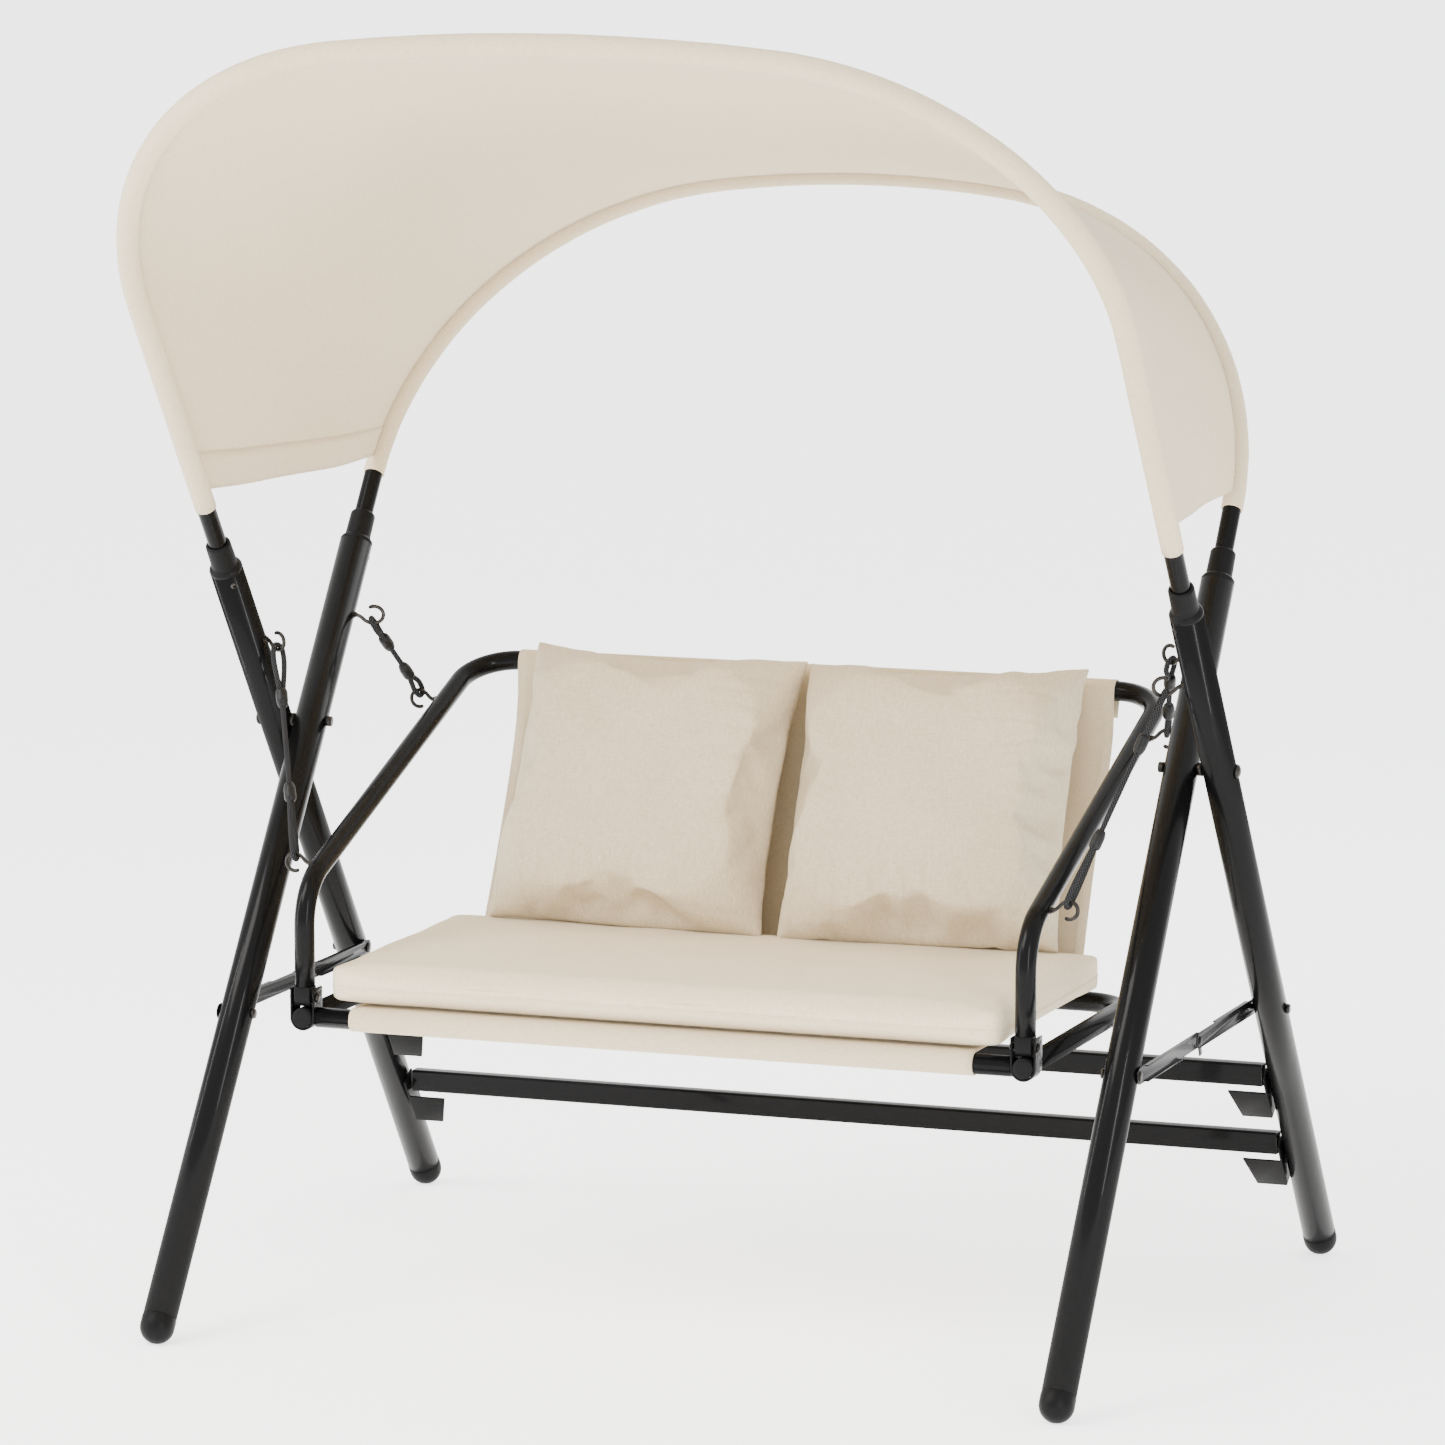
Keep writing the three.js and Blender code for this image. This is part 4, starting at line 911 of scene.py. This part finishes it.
# ---------------------------------------------------------------- sling

def sling_profile():
    """The sling from the side: round the front tube, under the cushion, up in front of the rear tube and
    over the back tube. Returns (y, z) pairs."""
    shift = front_tube_y - FRONT_TUBE_Y
    clear = SEAT_R + 0.0017
    loop = [(front_tube_y + clear * math.cos(t), seat_z + clear * math.sin(t))
            for t in np.radians(np.arange(-50, -271, -10))]
    level = seat_z + clear
    rear = SEAT_REAR_Y + shift
    seat = [(front_tube_y + 0.150, level), (rear - 0.065, level), (rear - 0.026, level + 0.007),
            (rear - 0.006, level + 0.029), (rear + 0.010, level + 0.062), (rear + 0.062, level + 0.173),
            (rear + 0.137, level + 0.336)]
    back = arm_point(ARM_LENGTH)
    tangent = math.pi - 0.24
    over = [(back.y + clear * math.cos(t), back.z + clear * math.sin(t))
            for t in np.arange(tangent, tangent - math.radians(205), -math.radians(10))]
    last = over[-1]
    tail = [(last[0] - 0.006, last[1] - 0.016), (last[0] - 0.011, last[1] - 0.032)]
    smooth = spline([Vector((0, y, z)) for y, z in [loop[-1], *seat, over[0]]], 10)
    return [*loop[:-1], *[(p.y, p.z) for p in smooth[:-1]], *over, *tail]


def make_sling():
    columns, count = 64, 150
    line = resample([Vector((0, y, z)) for y, z in sling_profile()], count)
    half = SLING_WIDTH / 2
    rows = np.zeros((count + 1, columns + 1, 3))
    top = arm_point(ARM_LENGTH).z
    for r in range(count + 1):
        height = min(1, max(0, (line[r][2] - seat_z - 0.05) / (top - seat_z - 0.12)))
        slack = math.sin(math.pi * height) if 0 < height < 1 else 0
        for c in range(columns + 1):
            x = -half + 2 * half * c / columns
            belly = 0.006 * slack * (1 - (x / half) ** 2)
            crease = 0.0008 * slack * noise.noise(Vector((x * 9, height * 2.2, 1.7)))
            pull = 1 - 0.006 * slack
            rows[r, c] = (x * pull, line[r][1] + belly + crease, line[r][2] - 0.4 * belly)
    sheet = sheet_object("sling_cloth_sheet", rows, sling_cloth)
    seams = []
    for name, place_at in (("front", front_tube_y + 0.032), ("front_second", front_tube_y + 0.038)):
        across = [Vector((x, place_at, seat_z + SEAT_R + 0.0028)) for x in (-half + 0.008, half - 0.008)]
        seams.append(stitches(f"sling_{name}_stitches", across, lambda p: Vector((0, 0, 1))))
    for side, sign in SIDES:
        for inset in (0.010, 0.022):
            edge = []
            for r in range(30, count - 24):
                step = Vector(line[r + 1] - line[r]).normalized()
                out = Vector((0, -step.z, step.y))
                column = round((0.5 + sign * (0.5 - inset / SLING_WIDTH)) * columns)
                edge.append(Vector(rows[r, column]) + out * 0.0009)
            seams.append(stitches(f"sling_edge_{side}_{round(inset * 1000)}", edge,
                                  lambda p: Vector((0, -0.8, 0.6))))
    for piece in (sheet, *seams):
        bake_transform(piece)
    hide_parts("sling")


# ---------------------------------------------------------------- cushion and pillows

def inflate(piece, pressure, cap, frames_to_run, stiffness):
    """Swells a closed mesh as cloth, and keeps each point within cap of where it began."""
    began = points_of(piece.data)
    cloth = piece.modifiers.new("cloth", "CLOTH")
    s = cloth.settings
    s.quality = 5
    s.mass = 0.25
    s.air_damping = 2.0
    s.tension_stiffness = s.compression_stiffness = stiffness
    s.shear_stiffness = stiffness * 0.5
    s.bending_stiffness = 0.2
    s.use_pressure = True
    s.uniform_pressure_force = pressure
    s.effector_weights.gravity = 0
    scene = bpy.context.scene
    for f in range(1, frames_to_run + 1):
        scene.frame_set(f)
    deps = bpy.context.evaluated_depsgraph_get()
    swollen = piece.evaluated_get(deps).to_mesh()
    ended = points_of(swollen)
    piece.evaluated_get(deps).to_mesh_clear()
    piece.modifiers.remove(cloth)
    scene.frame_set(1)
    move = ended - began
    size = np.linalg.norm(move, axis=1, keepdims=True)
    ended = began + move * np.minimum(1, cap / np.maximum(size, 1e-9))
    move_points(piece, ended)


def refine(piece):
    sub = piece.modifiers.new("subdivision", "SUBSURF")
    sub.levels = sub.render_levels = 1
    apply_modifier(piece, sub)
    smooth_faces(piece)


def pillow_mesh(name, half, seed):
    """Two square faces sewn round their edges, in the pillow's own frame: u across, v up, w out of
    the front. The cover is cut a little larger than the pillow, as it draws in when it fills."""
    n = 56
    vertices, faces, index = [], [], {}
    for face in (1, -1):
        for i in range(n + 1):
            for j in range(n + 1):
                edge = i in (0, n) or j in (0, n)
                if edge and face == -1:
                    index[(face, i, j)] = index[(1, i, j)]
                    continue
                u, v = 2 * i / n - 1, 2 * j / n - 1
                body = max(0.0, (1 - u ** 4) * (1 - v ** 4)) ** 0.5
                crumple = 0.0030 * noise.noise(Vector((u * 5, v * 5, seed + face)))
                w = 0 if edge else face * (0.030 * body + crumple * body)
                index[(face, i, j)] = len(vertices)
                vertices.append((u * half, v * half, w))
        for i in range(n):
            for j in range(n):
                ring = [index[(face, a, b)] for a, b in ((i, j), (i + 1, j), (i + 1, j + 1), (i, j + 1))]
                faces.append(ring if face == 1 else ring[::-1])
    return new_object(name, vertices, faces, pillow_cloth)


def straighten(p, half):
    """Evens out how far the filled cover's sides have drawn in, so that its outline is nearly square."""
    for axis, other in ((0, 1), (1, 0)):
        bins = np.clip(((p[:, other] / half + 1) * 20).astype(int), 0, 39)
        extent = np.array([np.abs(p[bins == k, axis]).max() if (bins == k).any() else half
                           for k in range(40)])
        extent = np.convolve(np.pad(extent, 3, mode="edge"), np.ones(7) / 7, mode="valid")
        reach = np.interp(p[:, other] / half, (np.arange(40) + 0.5) / 20 - 1, extent)
        p[:, axis] *= half / np.maximum(reach, 0.5 * half)
    p[:, :2] = np.clip(p[:, :2], -half, half)


def shape_pillow(piece, seed):
    """Fits the filled pillow to its measured size, with a flatter back and gathers along its seams."""
    p = points_of(piece.data)
    half_u = PILLOW_SIZE / 2
    p[:, 0] *= half_u / np.abs(p[:, 0]).max()
    p[:, 1] *= half_u / np.abs(p[:, 1]).max()
    front, back = p[:, 2] > 0, p[:, 2] <= 0
    p[front, 2] *= PILLOW_FRONT / p[front, 2].max()
    p[back, 2] *= PILLOW_BACK / -p[back, 2].min()
    straighten(p, half_u)
    u, v = p[:, 0] / half_u, p[:, 1] / half_u
    rim = np.maximum(np.abs(u), np.abs(v))
    p[:, 0] -= np.where(p[:, 0] > 0, 0.012, -0.004) * (1 - v ** 2) * np.abs(u) ** 3
    p[:, 1] -= np.where(p[:, 1] > 0, 0.014, -0.002) * (1 - u ** 2) * np.abs(v) ** 3
    for k in range(len(p)):
        if p[k, 2] <= 0:
            continue
        a, b = u[k], v[k]
        fold = 0.0
        for edge, along, strength, where in ((-b, a, 1.0, 0), (a, b, 0.8, 5), (-a, b, 0.5, 11),
                                             (b, a, 0.35, 23)):
            reach = min(1.0, max(0.0, (edge - 0.35) / 0.65))
            spread = noise.noise(Vector((along * 1.3, where, seed)))
            at = Vector((along * 5.4 + spread * (1 - reach), reach * 0.5, seed + where))
            crease = 1 - abs(noise.noise(at)) * 6.5
            small = noise.noise(Vector((along * 15.0, reach * 2.0, seed + where + 3.1)))
            depth = -0.0075 * max(0.0, crease) ** 1.5 + 0.0014 * small
            fold += strength * reach ** 1.3 * (1 - reach ** 8) * depth
        broad = 0.0035 * noise.noise(Vector((a * 1.7, b * 1.7, seed + 9)))
        p[k, 2] += (fold + broad * (1 - rim[k] ** 4)) * min(1.0, p[k, 2] / 0.018)
    move_points(piece, p)


def make_pillow(side, seed):
    low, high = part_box(f"pillow_{side}")
    middle = (low + high) / 2
    piece = pillow_mesh(f"throw_pillow_{side}", PILLOW_SIZE / 2 * 1.06, seed)
    inflate(piece, 4.0, 0.045, 22, 12)
    refine(piece)
    shape_pillow(piece, seed)
    u = X
    v = Vector((0, math.sin(PILLOW_LEAN), math.cos(PILLOW_LEAN)))
    w = Vector((0, -math.cos(PILLOW_LEAN), math.sin(PILLOW_LEAN)))
    base = middle - w * PILLOW_SET_BACK
    turn = Matrix.Rotation(PILLOW_TWIST[side], 3, w)
    for vertex in piece.data.vertices:
        local = vertex.co
        vertex.co = base + turn @ (u * local.x + v * local.y + w * local.z)
    piece.data.update()
    place(piece, "seat_back", "cushion_fabric", f"pillow_{side}")
    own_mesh(piece)


def make_cushion():
    low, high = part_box("seat_cushion")
    inset = 0.004
    radius = 0.013
    half = (high - low) / 2 - Vector((inset, inset, inset * 0.75))
    middle = (low + high) / 2
    b = bmesh.new()
    bmesh.ops.create_cube(b, size=2)
    bmesh.ops.scale(b, vec=half, verts=b.verts)
    upright = [e for e in b.edges if abs(e.verts[0].co.z - e.verts[1].co.z) > 1e-6]
    bmesh.ops.bevel(b, geom=upright, offset=radius * 1.4, segments=6, affect="EDGES", profile=0.5)
    rims = [e for e in b.edges if e.calc_face_angle(0) > 1.2]
    bmesh.ops.bevel(b, geom=rims, offset=radius * 0.55, segments=4, affect="EDGES", profile=0.5)
    mesh = bpy.data.meshes.new("seat_pad")
    b.to_mesh(mesh)
    b.free()
    mesh.materials.append(pad_cloth)
    piece = bpy.data.objects.new("seat_pad", mesh)
    bpy.context.collection.objects.link(piece)
    remesh = piece.modifiers.new("remesh", "REMESH")
    remesh.mode = "VOXEL"
    remesh.voxel_size = 0.006
    apply_modifier(piece, remesh)
    inflate(piece, 2.5, 0.006, 10, 20)
    refine(piece)
    p = points_of(piece.data)
    full = np.array((high - low) / 2)
    for axis in (0, 1, 2):
        p[:, axis] *= full[axis] / np.abs(p[:, axis]).max() * 0.998
    p[:, 2] = np.maximum(p[:, 2], -full[2] * 0.965)
    for k in range(len(p)):
        x, y, z = p[k] / full
        if z > 0.2:
            p[k, 2] -= 0.0022 * (0.5 + noise.noise(Vector((x * 7, y * 3, 0.4))))
            dent = max(0.0, (y - 0.35) / 0.65)
            p[k, 2] -= 0.004 * dent * (1 - x ** 8)
        if y < -0.8:
            p[k, 1] += 0.0012 * (1 + noise.noise(Vector((x * 22, z * 1.5, 2.0))))
    move_points(piece, p + np.array(middle))
    place(piece, "seat_base", "cushion_fabric", "seat_cushion")
    cushion_seams(piece, middle, full)


def outline_on(tree, middle, full, height, steps=260):
    """Points round the cushion at one height, on its surface, each with the way out."""
    points = []
    for k in range(steps):
        t = 2 * math.pi * k / steps
        reach = Vector((math.copysign(abs(math.cos(t)) ** 0.35, math.cos(t)) * full[0] * 1.3,
                        math.copysign(abs(math.sin(t)) ** 0.35, math.sin(t)) * full[1] * 1.3, 0))
        start = Vector((middle.x + reach.x, middle.y + reach.y, height))
        spot, normal, _, _ = tree.find_nearest(start)
        points.append((Vector((spot.x, spot.y, height)), normal))
    return points


def cushion_seams(piece, middle, full):
    """The seam that joins the cushion's top to its border: a raised ridge, and a line of stitches just below it.
    """
    depsgraph = bpy.context.evaluated_depsgraph_get()
    tree = BVHTree.FromObject(piece, depsgraph)
    height = middle.z - full[2] * SEAM_DROP
    ring = outline_on(tree, middle, full, height)
    path = [p + n * 0.0002 for p, n in ring]
    even = [Vector(q) for q in resample([*path, path[0]], 420)]
    cord = pipe("cushion_seam_ridge", even, 0.0011, pad_cloth, 8, False)
    place(cord, "seat_base", "cushion_fabric")
    lower = outline_on(tree, middle, full, height - 0.0052)
    line = [p + n * 0.0004 for p, n in lower]
    seam = stitches("cushion_seam_stitches", [*line, line[0]], lambda q: tree.find_nearest(q)[1],
                    0.0042, 0.0029)
    place(seam, "seat_base", "cushion_fabric")


# ---------------------------------------------------------------- CAD nodes that stay

def dress_cad():
    """CAD nodes whose shape is right keep it, with eased edges and a finished material."""
    finish = {"paint": paint, "plastic": plastic, "fastener": zinc}
    slots = {s["node"]: s["material_slot"] for s in frame["record"]["subparts"]}
    for name, node in frame["nodes"].items():
        if slots[name] not in finish or node.hide_render:
            continue
        node.data.materials.clear()
        node.data.materials.append(finish[slots[name]])
        weld = node.modifiers.new("weld", "WELD")
        weld.merge_threshold = 1e-5
        if any(word in name for word in ("strap", "bracket", "crossbar")):
            bevel = node.modifiers.new("eased_edges", "BEVEL")
            bevel.width = 0.0005
            bevel.segments = 2
            bevel.limit_method = "ANGLE"
            bevel.angle_limit = math.radians(50)
        sharpen(node, 35)


make_camera()
make_stage()
for side, sign in SIDES:
    make_leg("rear", 1, "rear_leg_frame", sign * rear_leg_x, side, sign)
    make_leg("front", -1, "front_leg_frame", sign * front_leg_x, side, sign)
make_bow("front", 1, "rear_leg_frame", rear_leg_x, FRONT_BOW)
make_bow("rear", -1, "front_leg_frame", front_leg_x, REAR_BOW)
make_canopy()
make_seat_frame()
make_suspension()
make_sling()
make_cushion()
make_pillow("left", 2.0)
make_pillow("right", 17.0)
dress_cad()
